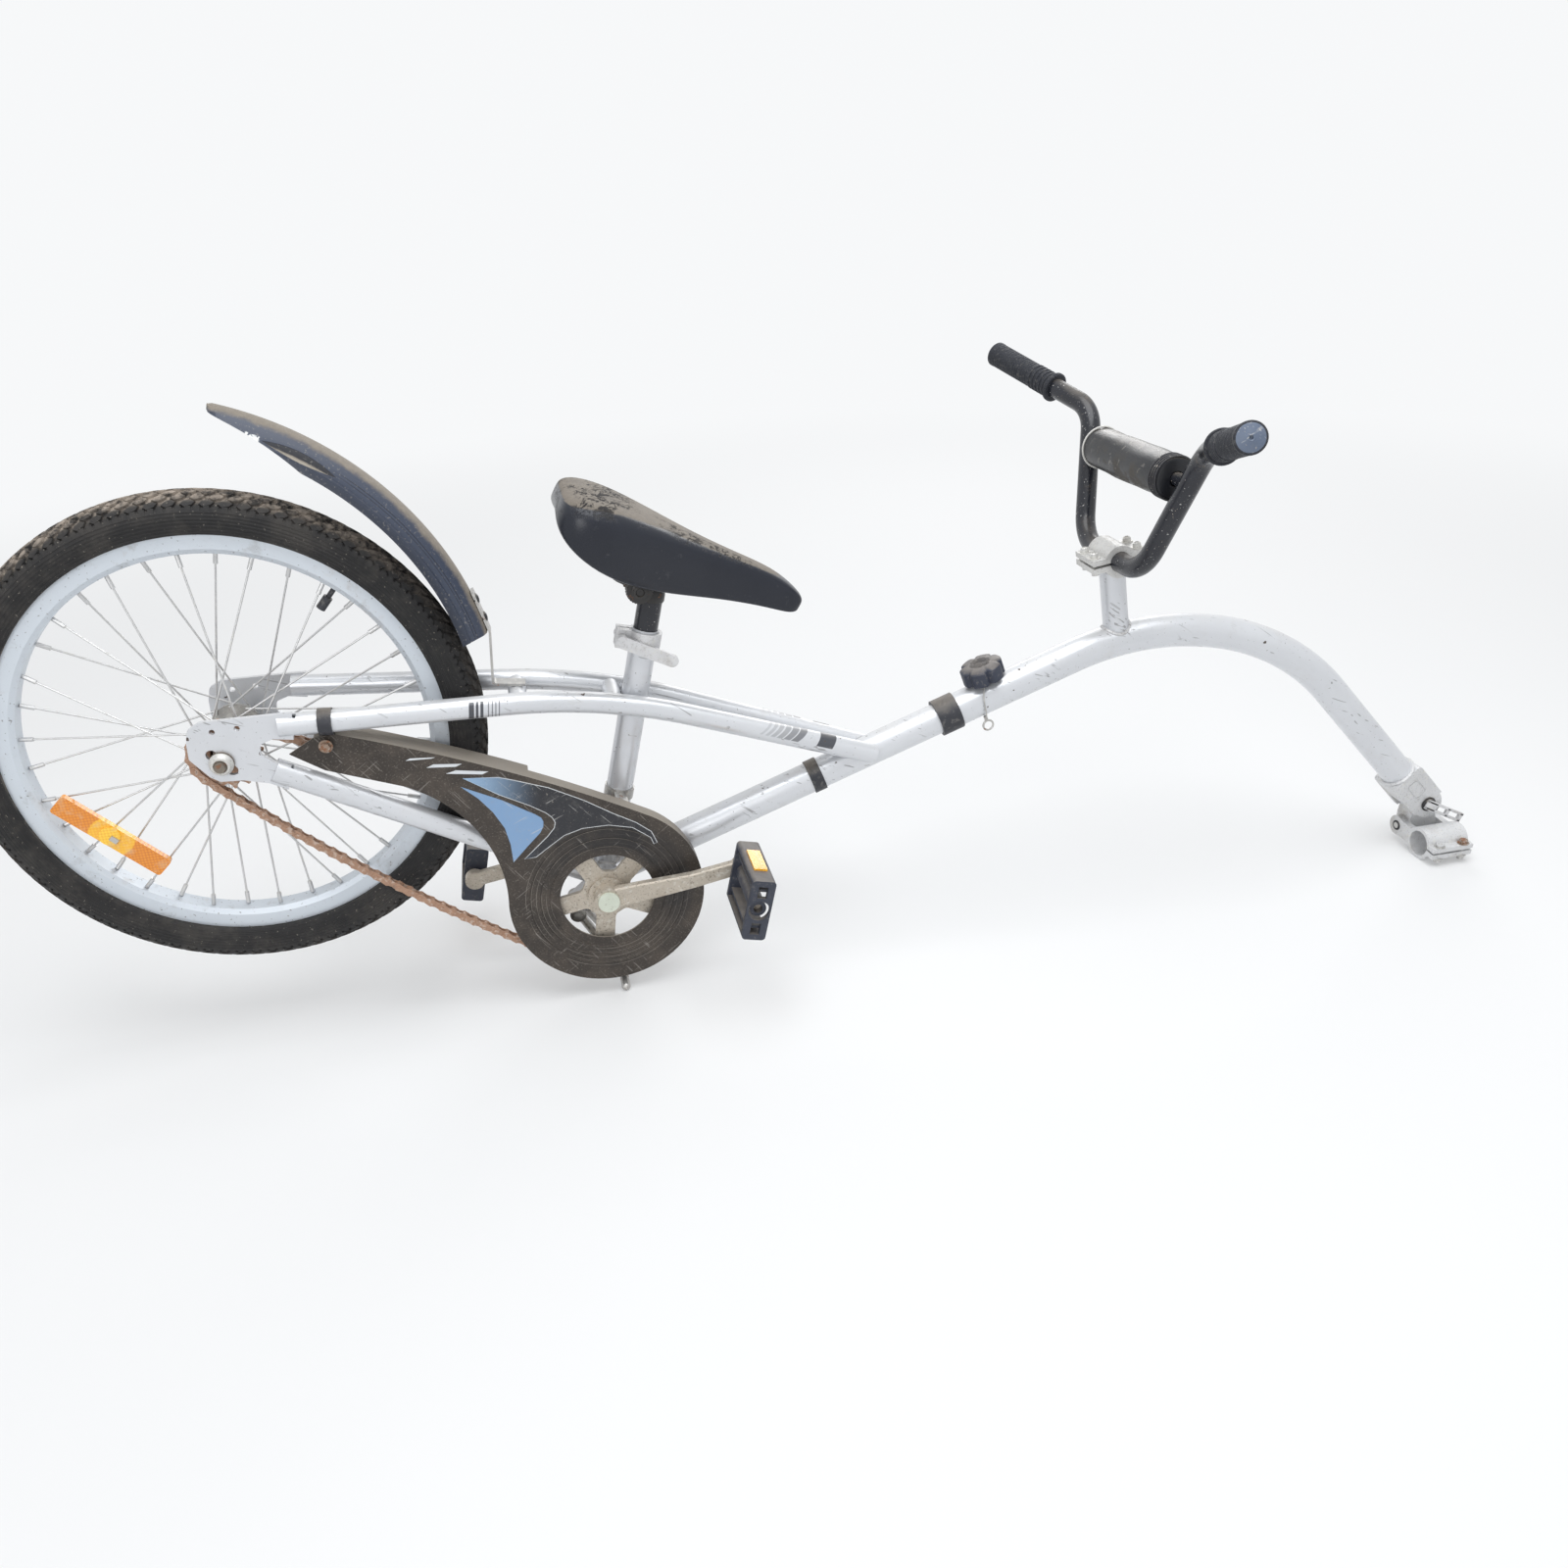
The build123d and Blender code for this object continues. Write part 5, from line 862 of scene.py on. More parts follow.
def chain_pins():
    """Centres of the chain's pins round both sprockets, with a slack lower run."""
    distance = hypot(*BB)
    tilt = atan2(BB[1], BB[0])
    small = SPROCKET_RADIUS
    large = RING_RADIUS
    upper = tilt + asin((large - small) / distance) + pi / 2
    start = Vector((small * cos(upper), small * sin(upper)))
    top = Vector((BB[0] + large * cos(upper), BB[1] + large * sin(upper)))

    def runs(slack):
        """The straight run and the three arcs, as (centre, radius, first angle, turn)."""
        a = slack - small
        b = slack - large
        corner = acos((a * a + distance * distance - b * b) / (2 * a * distance))
        centre = (a * cos(tilt + corner), a * sin(tilt + corner))
        leave = atan2(BB[1] - centre[1], BB[0] - centre[0])
        arrive = atan2(-centre[1], -centre[0])
        return [
            (BB, large, upper, (upper - leave) % (2 * pi)),
            (centre, slack, leave, (leave - arrive) % (2 * pi)),
            ((0.0, 0.0), small, arrive, (arrive - upper) % (2 * pi)),
        ]

    straight = (top - start).length
    low = SLACK_LOW
    high = SLACK_HIGH
    for _ in range(60):
        slack = sqrt(low * high)
        arcs = runs(slack)
        total = straight + sum(arc[1] * arc[3] for arc in arcs)
        if total > CHAIN_LINKS * PITCH:
            low = slack
        else:
            high = slack
    pins = []
    for index in range(CHAIN_LINKS):
        run = index * total / CHAIN_LINKS
        if run <= straight:
            spot = start.lerp(top, run / straight)
        else:
            run -= straight
            for centre, radius, first, turn in arcs:
                if run <= radius * turn:
                    break
                run -= radius * turn
            angle = first - run / radius
            spot = Vector((centre[0] + radius * cos(angle), centre[1] + radius * sin(angle)))
        pins.append(spot)
    return pins


def plate_outline():
    """A waisted link plate: round ends on the two pins."""
    points = []
    for side in (1, -1):
        for angle in (-78.0, -39.0, 0.0, 39.0, 78.0):
            points.append((side * (PITCH / 2 + PLATE_HALF * cos(radians(angle))),
                           side * PLATE_HALF * sin(radians(angle))))
        points.append((0.0, side * PLATE_WAIST))
    return points


def chain():
    bm = bmesh.new()
    pins = chain_pins()
    outline = plate_outline()
    rivet = [(0.0, 0.0), (1.9, 0.0), (1.7, 0.75), (0.9, 1.0), (0.0, 1.0)]
    for index, pin in enumerate(pins):
        following = pins[(index + 1) % len(pins)]
        middle = (pin + following) / 2
        turn = atan2(following.y - pin.y, following.x - pin.x)
        low = INNER_HALF_GAP + (index % 2) * PLATE_THICK
        for side in (-1, 1):
            spot = Matrix.Translation((middle.x, CHAIN_LINE + side * low, middle.y))
            spot = spot @ Matrix.Rotation(-turn, 4, "Y") @ Matrix.Rotation(radians(90.0 * -side), 4, "X")
            block(bm, outline, PLATE_THICK, 1.0, spot)
            outer = CHAIN_LINE + side * (INNER_HALF_GAP + 2 * PLATE_THICK - 0.05)
            spin_ring(bm, rivet, 8, facing((0, side, 0), (pin.x, outer, pin.y)), closed=False)
        bmesh.ops.create_cone(
            bm, cap_ends=True, segments=10, radius1=3.9, radius2=3.9, depth=2 * INNER_HALF_GAP,
            matrix=facing((0, 1, 0), (pin.x, CHAIN_LINE, pin.y)))
    bmesh.ops.remove_doubles(bm, verts=bm.verts, dist=0.001)
    bmesh.ops.recalc_face_normals(bm, faces=bm.faces)
    piece("chain_links", bm, FINISHES["rusty_steel"], "frame", ["chain"], radians(30.0))


# Saddle: sections across it from nose to tail, its top flat to a crisp edge
SADDLE_NOSE = Vector((568.1, 0.0, 157.8))
SADDLE_DOWN = 24.0
SADDLE_ROWS = (
    # distance behind the nose, half width, top above the nose line, depth of the skirt
    (-1.0, 7.0, 0.5, 9.0),
    (1.5, 12.5, 5.5, 16.0),
    (9.0, 16.5, 10.0, 25.0),
    (40.0, 21.0, 18.0, 38.0),
    (85.0, 25.0, 15.0, 47.0),
    (135.0, 40.0, 13.0, 60.0),
    (185.0, 63.0, 14.0, 69.0),
    (225.0, 75.0, 13.0, 64.0),
    (252.0, 73.0, 8.0, 50.0),
    (266.0, 62.0, 2.0, 34.0),
    (273.0, 46.0, -5.0, 16.0),
)
# Half of a section from its top round to its underside, as shares of its half width and its depth
SADDLE_HALF = (
    (0.0, 0.0), (0.4, 0.012), (0.70, 0.05), (0.84, 0.10), (0.93, 0.19), (0.99, 0.34), (1.0, 0.55),
    (0.97, 0.82), (0.93, 0.97), (0.84, 1.0), (0.45, 0.93), (0.0, 0.9),
)
RAIL_RADIUS = 3.5
RAIL_POINTS = ((118.0, 19.5, 6.0), (78.0, 7.5, 15.0), (-22.0, 7.5, 20.0), (-56.0, 58.0, 26.0))
RAIL_BEND = 14.0
SADDLE_CLAMP = Vector((396.1, 0.0, 170.3))
SADDLE_CLAMP_RADIUS = 14.0
SADDLE_CLAMP_HALF = 27.0
SADDLE_CLAMP_TEETH = 30


def saddle():
    bm = bmesh.new()
    lean = Matrix.Translation(SADDLE_NOSE) @ Matrix.Rotation(radians(SADDLE_DOWN), 4, "Y")
    outline = list(SADDLE_HALF) + [(-wide, down) for wide, down in reversed(SADDLE_HALF[1:-1])]
    rings = []
    for distance, half, top, depth in SADDLE_ROWS:
        ring = bmesh.ops.create_circle(bm, segments=len(outline), radius=1.0)["verts"]
        for vert, (wide, down) in zip(ring, outline):
            vert.co = Vector((-distance, wide * half, top - down * depth))
        rings.append(ring)
    edges = list({edge for ring in rings for vert in ring for edge in vert.link_edges})
    bmesh.ops.bridge_loops(bm, edges=edges)
    for ring in (rings[0], rings[-1]):
        bm.faces.new(ring)
    bmesh.ops.transform(bm, matrix=lean, verts=bm.verts)
    tidy(bm)
    made = piece("saddle_cover", bm, FINISHES["saddle_vinyl"], "seat", ["saddle"], pi)
    smooth = made.modifiers.new("rounding", "SUBSURF")
    smooth.levels = 2
    smooth.render_levels = 2


def rounded(points, bend):
    """A path whose corners are eased by short curves."""
    path = [points[0]]
    for before, corner, after in zip(points, points[1:], points[2:]):
        first = corner + (before - corner).normalized() * bend
        last = corner + (after - corner).normalized() * bend
        for step in range(7):
            share = step / 6
            path.append(first.lerp(corner, share).lerp(corner.lerp(last, share), share))
    return path + [points[-1]]


def joined(parts):
    """Several bmeshes as one."""
    whole = bmesh.new()
    for part in parts:
        mesh = bpy.data.meshes.new("part")
        part.to_mesh(mesh)
        part.free()
        whole.from_mesh(mesh)
        bpy.data.meshes.remove(mesh)
    return whole


def saddle_fittings():
    """The two steel rails, and the toothed clamp that grips them on the post."""
    rails = []
    for side in (-1, 1):
        points = [SADDLE_CLAMP + Vector((x, side * y, z)) for x, z, y in RAIL_POINTS]
        rails.append(rod_mesh(rounded(points, RAIL_BEND), RAIL_RADIUS, sides=16))
    piece("seat_rails", joined(rails), FINISHES["black_steel"], "seat", ["saddle_rails"])
    bm = bmesh.new()
    disc = []
    for index in range(2 * SADDLE_CLAMP_TEETH):
        reach = SADDLE_CLAMP_RADIUS - (0.9 if index % 2 else 0.0)
        angle = pi * index / SADDLE_CLAMP_TEETH
        disc.append((reach * cos(angle), reach * sin(angle)))
    nut = [(0.0, 0.0), (8.4, 0.0), (8.4, 1.2), (6.8, 1.8), (6.8, 4.0), (4.4, 4.6), (3.6, 3.2), (0.0, 3.2)]
    half = SADDLE_CLAMP_HALF
    for side in (-1, 1):
        inner = SADDLE_CLAMP + Vector((0, side * (half - 9.0), 0))
        outer = SADDLE_CLAMP + Vector((0, side * half, 0))
        block(bm, disc, 9.0, 0.96, facing((0, side, 0), inner))
        spin_ring(bm, nut, 24, facing((0, side, 0), outer), closed=False)
    core = [(0.0, -half + 8.0), (11.0, -half + 8.0), (11.0, half - 8.0), (0.0, half - 8.0)]
    spin_ring(bm, core, 32, facing((0, 1, 0), SADDLE_CLAMP), closed=False)
    up = (SEAT_TUBE_TOP - SEAT_TUBE_FOOT).normalized()
    top = SEAT_TUBE_TOP + up * SEAT_POST_RISE
    cap = [(0.0, 0.2), (13.2, 0.2), (14.2, 2.0), (14.2, 9.0), (12.5, 15.0), (0.0, 17.0)]
    spin_ring(bm, cap, 32, facing(up, top), closed=False)
    tidy(bm)
    piece("seat_clamp_head", bm, FINISHES["black_steel"], "seat", ["saddle_clamp"])


# Cross brace pad
def crossbar_pad():
    bm = bmesh.new()
    bulge = [(-PAD_HALF, 8.0), (-PAD_HALF, PAD_RADIUS - 3.5), (-PAD_HALF + 1.0, PAD_RADIUS - 1.2),
             (-PAD_HALF + 5.0, PAD_RADIUS - 0.3), (-PAD_HALF + 9.0, PAD_RADIUS - 0.9)]
    for share in (-0.75, -0.5, -0.25, 0.0):
        bulge.append((share * PAD_HALF, PAD_RADIUS + 0.6 - 0.8 * share * share))
    profile = [(radius, along) for along, radius in bulge]
    profile += [(radius, -along) for along, radius in reversed(bulge[:-1])]
    spin_ring(bm, profile, 56, facing((0, 1, 0), CROSSBAR))
    tidy(bm)
    for vert in bm.verts:
        ripple = sin(vert.co.y * 0.11) * 0.35 + sin(vert.co.y * 0.043 + vert.co.x * 0.2) * 0.5
        out = vert.co - Vector((CROSSBAR.x, vert.co.y, CROSSBAR.z))
        if out.length > PAD_RADIUS - 3.0:
            vert.co += out.normalized() * ripple
    made = piece("pad_cover", bm, FINISHES["pad_fabric"], "frame", ["crossbar_pad"])
    seam = facing((0, 1, 0), CROSSBAR + Vector((0, PAD_HALF - 5.0, 0)))
    lathe("pad_piping", ring_points(6, 1.1, PAD_RADIUS + 0.6), 56, seam, PIPING, "frame")
    bm = bmesh.new()
    for stitch in range(4):
        place = CROSSBAR - Vector((0, PAD_HALF - 4.0 - 4.2 * stitch, 0))
        spin_ring(bm, ring_points(6, 1.3, PAD_RADIUS + 0.3), 56, facing((0, 1, 0), place))
    tidy(bm)
    piece("pad_binding", bm, STITCHING, "frame")


# Grips: a ribbed sleeve, a flange at its inner end and a pale cap in its outer one
GRIP_LENGTH = 112.0
GRIP_RADIUS = 13.5
GRIP_FLANGE = 17.0
GRIP_END = 3.0
# Rows of ribs: start along the grip, count, pitch, height, then where a rib is full, falls off and ends
GRIP_RIBS = ((8.0, 5, 6.2, 1.1, 0.6, 2.8, 3.4), (41.0, 16, 4.0, 0.55, 0.7, 2.1, 2.8))
GRIP_CAP = ((0.0, -1.4), (1.8, -1.4), (1.8, 0.5), (2.7, 0.9), (3.6, 0.5), (11.2, 0.0), (12.4, -0.5),
            (12.4, -3.0), (0.0, -3.0))


def grips():
    for side, name in ((-1, "grip_right"), (1, "grip_left")):
        knee = Vector((BAR_KNEE.x, side * BAR_KNEE.y, BAR_KNEE.z))
        end = Vector((BAR_END.x, side * BAR_END.y, BAR_END.z))
        lean = (end - knee).normalized()
        inner = end + lean * (GRIP_END - GRIP_LENGTH)
        outer = inner + lean * (GRIP_LENGTH + 0.5)
        profile = [(BAR_RADIUS + 0.3, 0.0), (GRIP_FLANGE - 1.5, 0.0), (GRIP_FLANGE, 1.5), (GRIP_FLANGE, 3.8),
                   (GRIP_FLANGE - 1.2, 5.0), (GRIP_RADIUS, 5.0)]
        for start, count, pitch, height, full, fall, foot in GRIP_RIBS:
            for low in (start + pitch * rib for rib in range(count)):
                profile += [(GRIP_RADIUS, low), (GRIP_RADIUS + height, low + full),
                            (GRIP_RADIUS + height, low + fall), (GRIP_RADIUS, low + foot)]
        profile += [(GRIP_RADIUS + 0.9, GRIP_LENGTH - 5.0), (GRIP_RADIUS + 0.9, GRIP_LENGTH - 1.2),
                    (GRIP_RADIUS - 0.4, GRIP_LENGTH), (BAR_RADIUS + 0.3, GRIP_LENGTH)]
        lathe(name + "_sleeve", profile, 40, facing(lean, inner), FINISHES["grip_rubber"],
              "frame", [name], smooth=radians(24.0))
        lathe(name + "_cap", GRIP_CAP, 40, facing(lean, outer), END_CAP, "frame",
              closed=False)


# Mudguard: a creased blade turned round its own centre, its tail tapered and rounded
MUDGUARD_START = 19.0
MUDGUARD_END = 80.4
MUDGUARD_TAIL = 96.0
MUDGUARD_TIP = 16.0
TIP_DEPTH = 5.0
CREASE = (19.0, 9.0)
HEM = (31.0, 25.0)
# Half of the blade's section from its crown to its hem, as half width and depth
BLADE = ((0.0, 0.0), (9.0, 0.6), (14.5, 3.6), CREASE, (23.8, 15.4), (24.1, 16.8), (25.3, 17.4), (26.3, 17.9),
         (26.6, 19.1), HEM)
BLADE_WALL = 2.5


def mudguard():
    bm = bmesh.new()
    outer = [(y, MUDGUARD_RADIUS - depth) for y, depth in BLADE]
    inner = [(y - BLADE_WALL * 0.9, MUDGUARD_RADIUS - depth - (BLADE_WALL if depth < 10.0 else 0.4))
             for y, depth in ((HEM[0], HEM[1] - 0.4), CREASE, (10.0, 0.6))]
    half = outer[1:] + inner
    section = [outer[0]] + half + [(0.0, MUDGUARD_RADIUS - BLADE_WALL)]
    section += [(-y, radius) for y, radius in reversed(half)]
    verts = [bm.verts.new((radius, y, 0.0)) for y, radius in section]
    edges = [bm.edges.new(pair) for pair in zip(verts, verts[1:] + verts[:1])]
    face = bm.faces.new(verts)
    sweep = radians(MUDGUARD_END - MUDGUARD_START)
    bmesh.ops.transform(bm, matrix=Matrix.Rotation(radians(-MUDGUARD_START), 4, "Y"), verts=bm.verts)
    bmesh.ops.spin(bm, geom=verts + edges + [face], axis=(0, -1, 0), cent=(0, 0, 0), angle=sweep,
                   steps=120)
    for vert in bm.verts:
        reach = hypot(vert.co.x, vert.co.z)
        left = (radians(MUDGUARD_END) - atan2(vert.co.z, vert.co.x)) * MUDGUARD_RADIUS
        share = min(1.0, max(0.0, left / MUDGUARD_TAIL))
        allowed = TIP_DEPTH + (HEM[1] - TIP_DEPTH) * share
        depth = MUDGUARD_RADIUS - reach
        side = 1 if vert.co.y > 0 else -1
        if depth > allowed:
            below = max(0.0, allowed - CREASE[1])
            width = CREASE[0] + (HEM[0] - CREASE[0]) * below / (HEM[1] - CREASE[1])
            if allowed < CREASE[1]:
                width = 9.0 + 10.0 * allowed / CREASE[1]
            vert.co.x *= (MUDGUARD_RADIUS - allowed) / reach
            vert.co.z *= (MUDGUARD_RADIUS - allowed) / reach
            vert.co.y = side * min(abs(vert.co.y), width)
        if left < MUDGUARD_TIP:
            wide = sqrt(max(0.0, MUDGUARD_TIP ** 2 - (MUDGUARD_TIP - max(0.0, left)) ** 2)) + 1.5
            vert.co.y = side * min(abs(vert.co.y), wide)
    bmesh.ops.translate(bm, verts=bm.verts, vec=(MUDGUARD_CENTRE[0], 0.0, MUDGUARD_CENTRE[1]))
    tidy(bm)
    piece("mudguard_blade", bm, FINISHES["mudguard_plastic"], "frame", ["mudguard"],
          radians(30.0))


# The joint's hand knob and ring pin
KNOB_PLACE = 54.0
KNOB_RADIUS = 24.0
KNOB_LOBES = 6
KNOB_FOOT = 3.0
# Steps up the knob's side and over its top: the rise, and how far the outline is then drawn in
KNOB_STEPS = ((13.5, 0.0), (2.2, 1.2), (1.2, 1.6), (0.8, 2.4), (0.6, 4.0), (0.4, 6.0), (0.3, 7.0))
PIN_PLACE = 38.0
PIN_SIDE = 12.0


def boom_spot(distance, lift, y=0.0):
    """A place along the boom from its joint, lifted square to it."""
    angle = radians(BOOM_ANGLE)
    return BOOM_JOINT + Vector((distance * cos(angle) - lift * sin(angle), y,
                                distance * sin(angle) + lift * cos(angle)))


def knob():
    bm = bmesh.new()
    up = (boom_spot(0.0, 1.0) - boom_spot(0.0, 0.0)).normalized()
    foot = boom_spot(KNOB_PLACE, BOOM_RADIUS + 0.2)
    verts = []
    for index in range(96):
        angle = 2 * pi * index / 96
        reach = KNOB_RADIUS - 4.2 * max(0.0, cos(KNOB_LOBES * angle)) ** 3
        verts.append(bm.verts.new((reach * cos(angle), reach * sin(angle), KNOB_FOOT)))
    face = bm.faces.new(verts)

    def raised():
        made = bmesh.ops.extrude_face_region(bm, geom=[face])
        return [part for part in made["geom"] if isinstance(part, bmesh.types.BMFace)][0]

    face = raised()
    for lift, draw in KNOB_STEPS:
        bmesh.ops.translate(bm, verts=face.verts, vec=(0, 0, lift))
        face = raised()
        share = 1.0 - draw / KNOB_RADIUS
        bmesh.ops.scale(bm, verts=face.verts, vec=(share, share, 1.0))
    stem = [(0.0, 0.0), (9.0, 0.0), (9.0, KNOB_FOOT + 1.0), (0.0, KNOB_FOOT + 1.0)]
    spin_ring(bm, stem, 32, Matrix(), closed=False)
    bmesh.ops.transform(bm, matrix=facing(up, foot), verts=bm.verts)
    tidy(bm)
    piece("hand_knob", bm, KNOB_PLASTIC, "frame", ["boom_knob"], radians(40.0))


def ring_pin():
    """The pin under the joint with its ring, and the springy wire that ties it to the knob."""
    skin = -sqrt(BOOM_RADIUS ** 2 - (PIN_SIDE - 2.2) ** 2) - 0.3
    low = skin - 6.0
    parts = [rod_mesh([boom_spot(PIN_PLACE, skin, -PIN_SIDE), boom_spot(PIN_PLACE, low, -PIN_SIDE)], 2.2)]
    middle = boom_spot(PIN_PLACE, low - 6.0, -PIN_SIDE)
    circle = [middle + Vector((x, 0, z)) for x, z in ring_points(28, 5.8)]
    parts.append(rod_mesh(circle, 1.2, closed=True))
    side = BOOM_RADIUS + 1.6
    route = [boom_spot(PIN_PLACE, low, -PIN_SIDE), boom_spot(PIN_PLACE + 0.5, -side / 2, -side),
             boom_spot(PIN_PLACE + 3.0, side / 2, -side),
             boom_spot(PIN_PLACE + 11.0, BOOM_RADIUS + 2.2, -PIN_SIDE)]
    parts.append(rod_mesh(rounded(route, 7.0), 0.7))
    piece("ring_pin", joined(parts), FINISHES["steel"], "frame", ["lock_pin"])


# Thin films printed on the guard's flat face
def drawn_in(outline, gap):
    """A side-view outline moved inwards by a gap."""
    spots = [Vector(spot) for spot in outline]
    area = sum(first.cross(second) for first, second in zip(spots, spots[1:] + spots[:1]))
    inward = gap if area > 0 else -gap
    moved = []
    for before, spot, after in zip(spots[-1:] + spots[:-1], spots, spots[1:] + spots[:1]):
        ahead = (after - before).normalized()
        moved.append(spot + Vector((-ahead.y, ahead.x)) * inward)
    return moved


def sticker(name, outline, finish, lift, inset=0.0):
    """A film cut to a side-view outline on the guard's right face."""
    bm = bmesh.new()
    block(bm, drawn_in(outline, inset), lift, 1.0, facing((0, -1, 0), (0.0, GUARD_FACE - 0.02, 0.0)))
    bmesh.ops.triangulate(bm, faces=bm.faces)
    tidy(bm, 0.001)
    piece(name, bm, finish, "frame")


# Outlines of the films in the bike's side view, forward and up from the wheel's centre
BLACK_PANEL = (
    (222.6, -20.7), (258.0, -19.5), (272.0, -22.5), (308.1, -31.5), (345.1, -46.5), (374.5, -61.5),
    (400.2, -73.0), (417.0, -84.0), (424.0, -97.2), (419.9, -99.5), (416.2, -91.7), (396.3, -79.5),
    (370.9, -76.2), (343.9, -79.7), (325.4, -87.6), (309.1, -101.5), (296.8, -112.5), (284.5, -114.5),
    (293.7, -103.7), (307.9, -87.6), (314.4, -78.0), (315.2, -72.0), (312.2, -66.4), (305.5, -60.8),
    (289.2, -52.4), (258.0, -39.6),
)
BLUE_PANEL = (
    (220.7, -30.2), (261.3, -45.5), (295.0, -62.2), (301.0, -66.0), (303.4, -70.5), (303.4, -76.5),
    (300.5, -83.5), (287.3, -99.8), (273.4, -118.0), (270.3, -97.1), (264.3, -77.6), (252.5, -59.3),
    (238.0, -43.6),
)
STRIPES = (
    ((168.1, -1.1), (192.9, 1.2), (196.2, 2.6), (172.2, 1.4)),
    ((188.0, -8.8), (216.3, -7.8), (222.0, -4.6), (194.5, -5.1)),
    ((206.6, -15.4), (242.0, -16.3), (248.0, -13.2), (216.2, -11.7)),
)


def guard_prints():
    pale = film("panel_edge", (0.42, 0.58, 0.74), (0.62, 0.64, 0.66), 0.3, 0.2, 0.5, (222.0, 280.0))
    black = film("panel_black", (0.26, 0.40, 0.58), (0.008, 0.009, 0.014), 0.24, 0.25, 0.4, (224.0, 302.0))
    blue = film("panel_blue", (0.20, 0.335, 0.54), None, 0.3, 0.2, 0.4)
    white = film("panel_white", (0.66, 0.69, 0.72), None, 0.35, 0.1, 0.4)
    sticker("guard_panel_edge", BLACK_PANEL, pale, 0.18)
    sticker("guard_panel", BLACK_PANEL, black, 0.32, 0.8)
    sticker("guard_blue_panel", BLUE_PANEL, blue, 0.25)
    for index, outline in enumerate(STRIPES):
        sticker(f"guard_stripe_{index + 1}", outline, white, 0.25)


# Welds: a rippled bead where one tube meets another
def host_tree(node):
    """A node's surface in the bike's frame, for rays."""
    mesh = frame["nodes"][node].data
    return BVHTree.FromPolygons([TO_BIKE @ vert.co for vert in mesh.vertices],
                                [tuple(face.vertices) for face in mesh.polygons])


WELD_STEPS = 72
WELD_REACH = 400.0
DOWN_BOOM = Vector((-cos(radians(BOOM_ANGLE)), 0.0, -sin(radians(BOOM_ANGLE))))
# name, a point on the tube's axis outside its host, the way to the host, the tube's radius, bead, host node
WELDS = (
    ("weld_post", POST_TOP, POST_FOOT - POST_TOP, POST_RADIUS + 0.6, 1.9, "front_boom"),
    ("weld_main", Vector((700.0, 0.0, 3.8)), DOWN_BOOM, 18.0, 2.2, "seat_tube"),
    ("weld_seat_tube", Vector((385.0, 0.0, -70.0)), SEAT_TUBE_FOOT - SEAT_TUBE_TOP, 14.9, 2.0,
     "bottom_bracket"),
)


def weld(name, start, way, radius, bead, host):
    """Runs rays down a tube's skin onto its host, and a bead along what they hit."""
    tree = host_tree(host)
    seat = facing(way, start)
    down = Vector(way).normalized()
    hits = [tree.ray_cast(seat @ Vector((x, y, 0.0)), down, WELD_REACH)[0]
            for x, y in ring_points(WELD_STEPS, radius)]
    if all(hits):
        runs = [(hits, True)]
    else:
        gap = next(index for index, hit in enumerate(hits) if hit is None)
        turned = hits[gap:] + hits[:gap]
        run = []
        runs = []
        for hit in turned + [None]:
            if hit is None:
                if len(run) > 5:
                    runs.append((run, False))
                run = []
            else:
                run.append(hit)
    parts = [rod_mesh(run, bead, closed=whole, ripple=0.22) for run, whole in runs]
    if parts:
        piece(name, joined(parts), WELDED, "frame")


# The hitch's lever, pin head and bolts, in the hitch's own level frame
HITCH = Vector((1412.0, 0.0, -81.0))
HITCH_LEVEL = Matrix.Translation(HITCH) @ Matrix.Rotation(radians(-PARK_PITCH), 4, "Y")
FORK_HALF = 20.5
FORK_BACK = Vector((-0.766, 0.0, 0.643))
FORK_REACH = 57.0
FORK_EDGE_RADIUS = 20.0
CLAMP_REAR = -23.5
CLAMP_LENGTH = 55.0
CLAMP_SWING = -94.5
BOLT_REACH = 68.5
PIN_DROP = -37.0
PIN_HEAD = HITCH_LEVEL @ Vector((CLAMP_REAR, 0.0, PIN_DROP))
PIN_RADIUS = 4.5
LEVER_TURN = -19.0
LEVER_HEEL = -6.5
LEVER_TIP = 53.5
LEVER_WIDTH = 12.6


def skewer():
    """The quick-release pin: its dark cam ring, a lever with two slots, and a nut on the far side."""
    bm = bmesh.new()
    pin = [(0.0, -27.0), (3.8, -27.0), (3.8, 27.0), (0.0, 27.0)]
    spin_ring(bm, pin, 24, facing((0, 1, 0), HITCH), closed=False)
    seat = facing((0, -1, 0), HITCH + Vector((0.0, -FORK_HALF - 3.4, 0.0)))
    turned = seat @ Matrix.Rotation(radians(LEVER_TURN), 4, "Z")
    half = LEVER_WIDTH / 2
    bars = [(LEVER_HEEL, LEVER_TIP, -half, 3.4 - half), (LEVER_HEEL, LEVER_TIP, half - 3.4, half)]
    for low, high in ((LEVER_HEEL, 8.5), (26.0, 31.0), (LEVER_TIP - 5.5, LEVER_TIP)):
        bars.append((low, high, 0.5 - half, half - 0.5))
    for bar in bars:
        block(bm, rectangle(*bar), 4.0, 1.0, turned, 0.6)
    nut_seat = facing((0, 1, 0), HITCH + Vector((0.0, FORK_HALF + 0.3, 0.0)))
    block(bm, ring_points(6, 8.2), 7.2, 0.92, nut_seat)
    tidy(bm)
    piece("skewer_lever", bm, BARE_ALLOY, "frame", ["hitch_skewer"])
    ring = [(5.0, 0.2), (9.6, 0.2), (9.6, 1.2), (8.0, 1.8), (7.4, 3.4), (5.0, 3.4)]
    ring_seat = facing((0, -1, 0), HITCH + Vector((0.0, -FORK_HALF, 0.0)))
    lathe("skewer_ring", ring, 40, ring_seat, BLACK_BOLT, "frame")


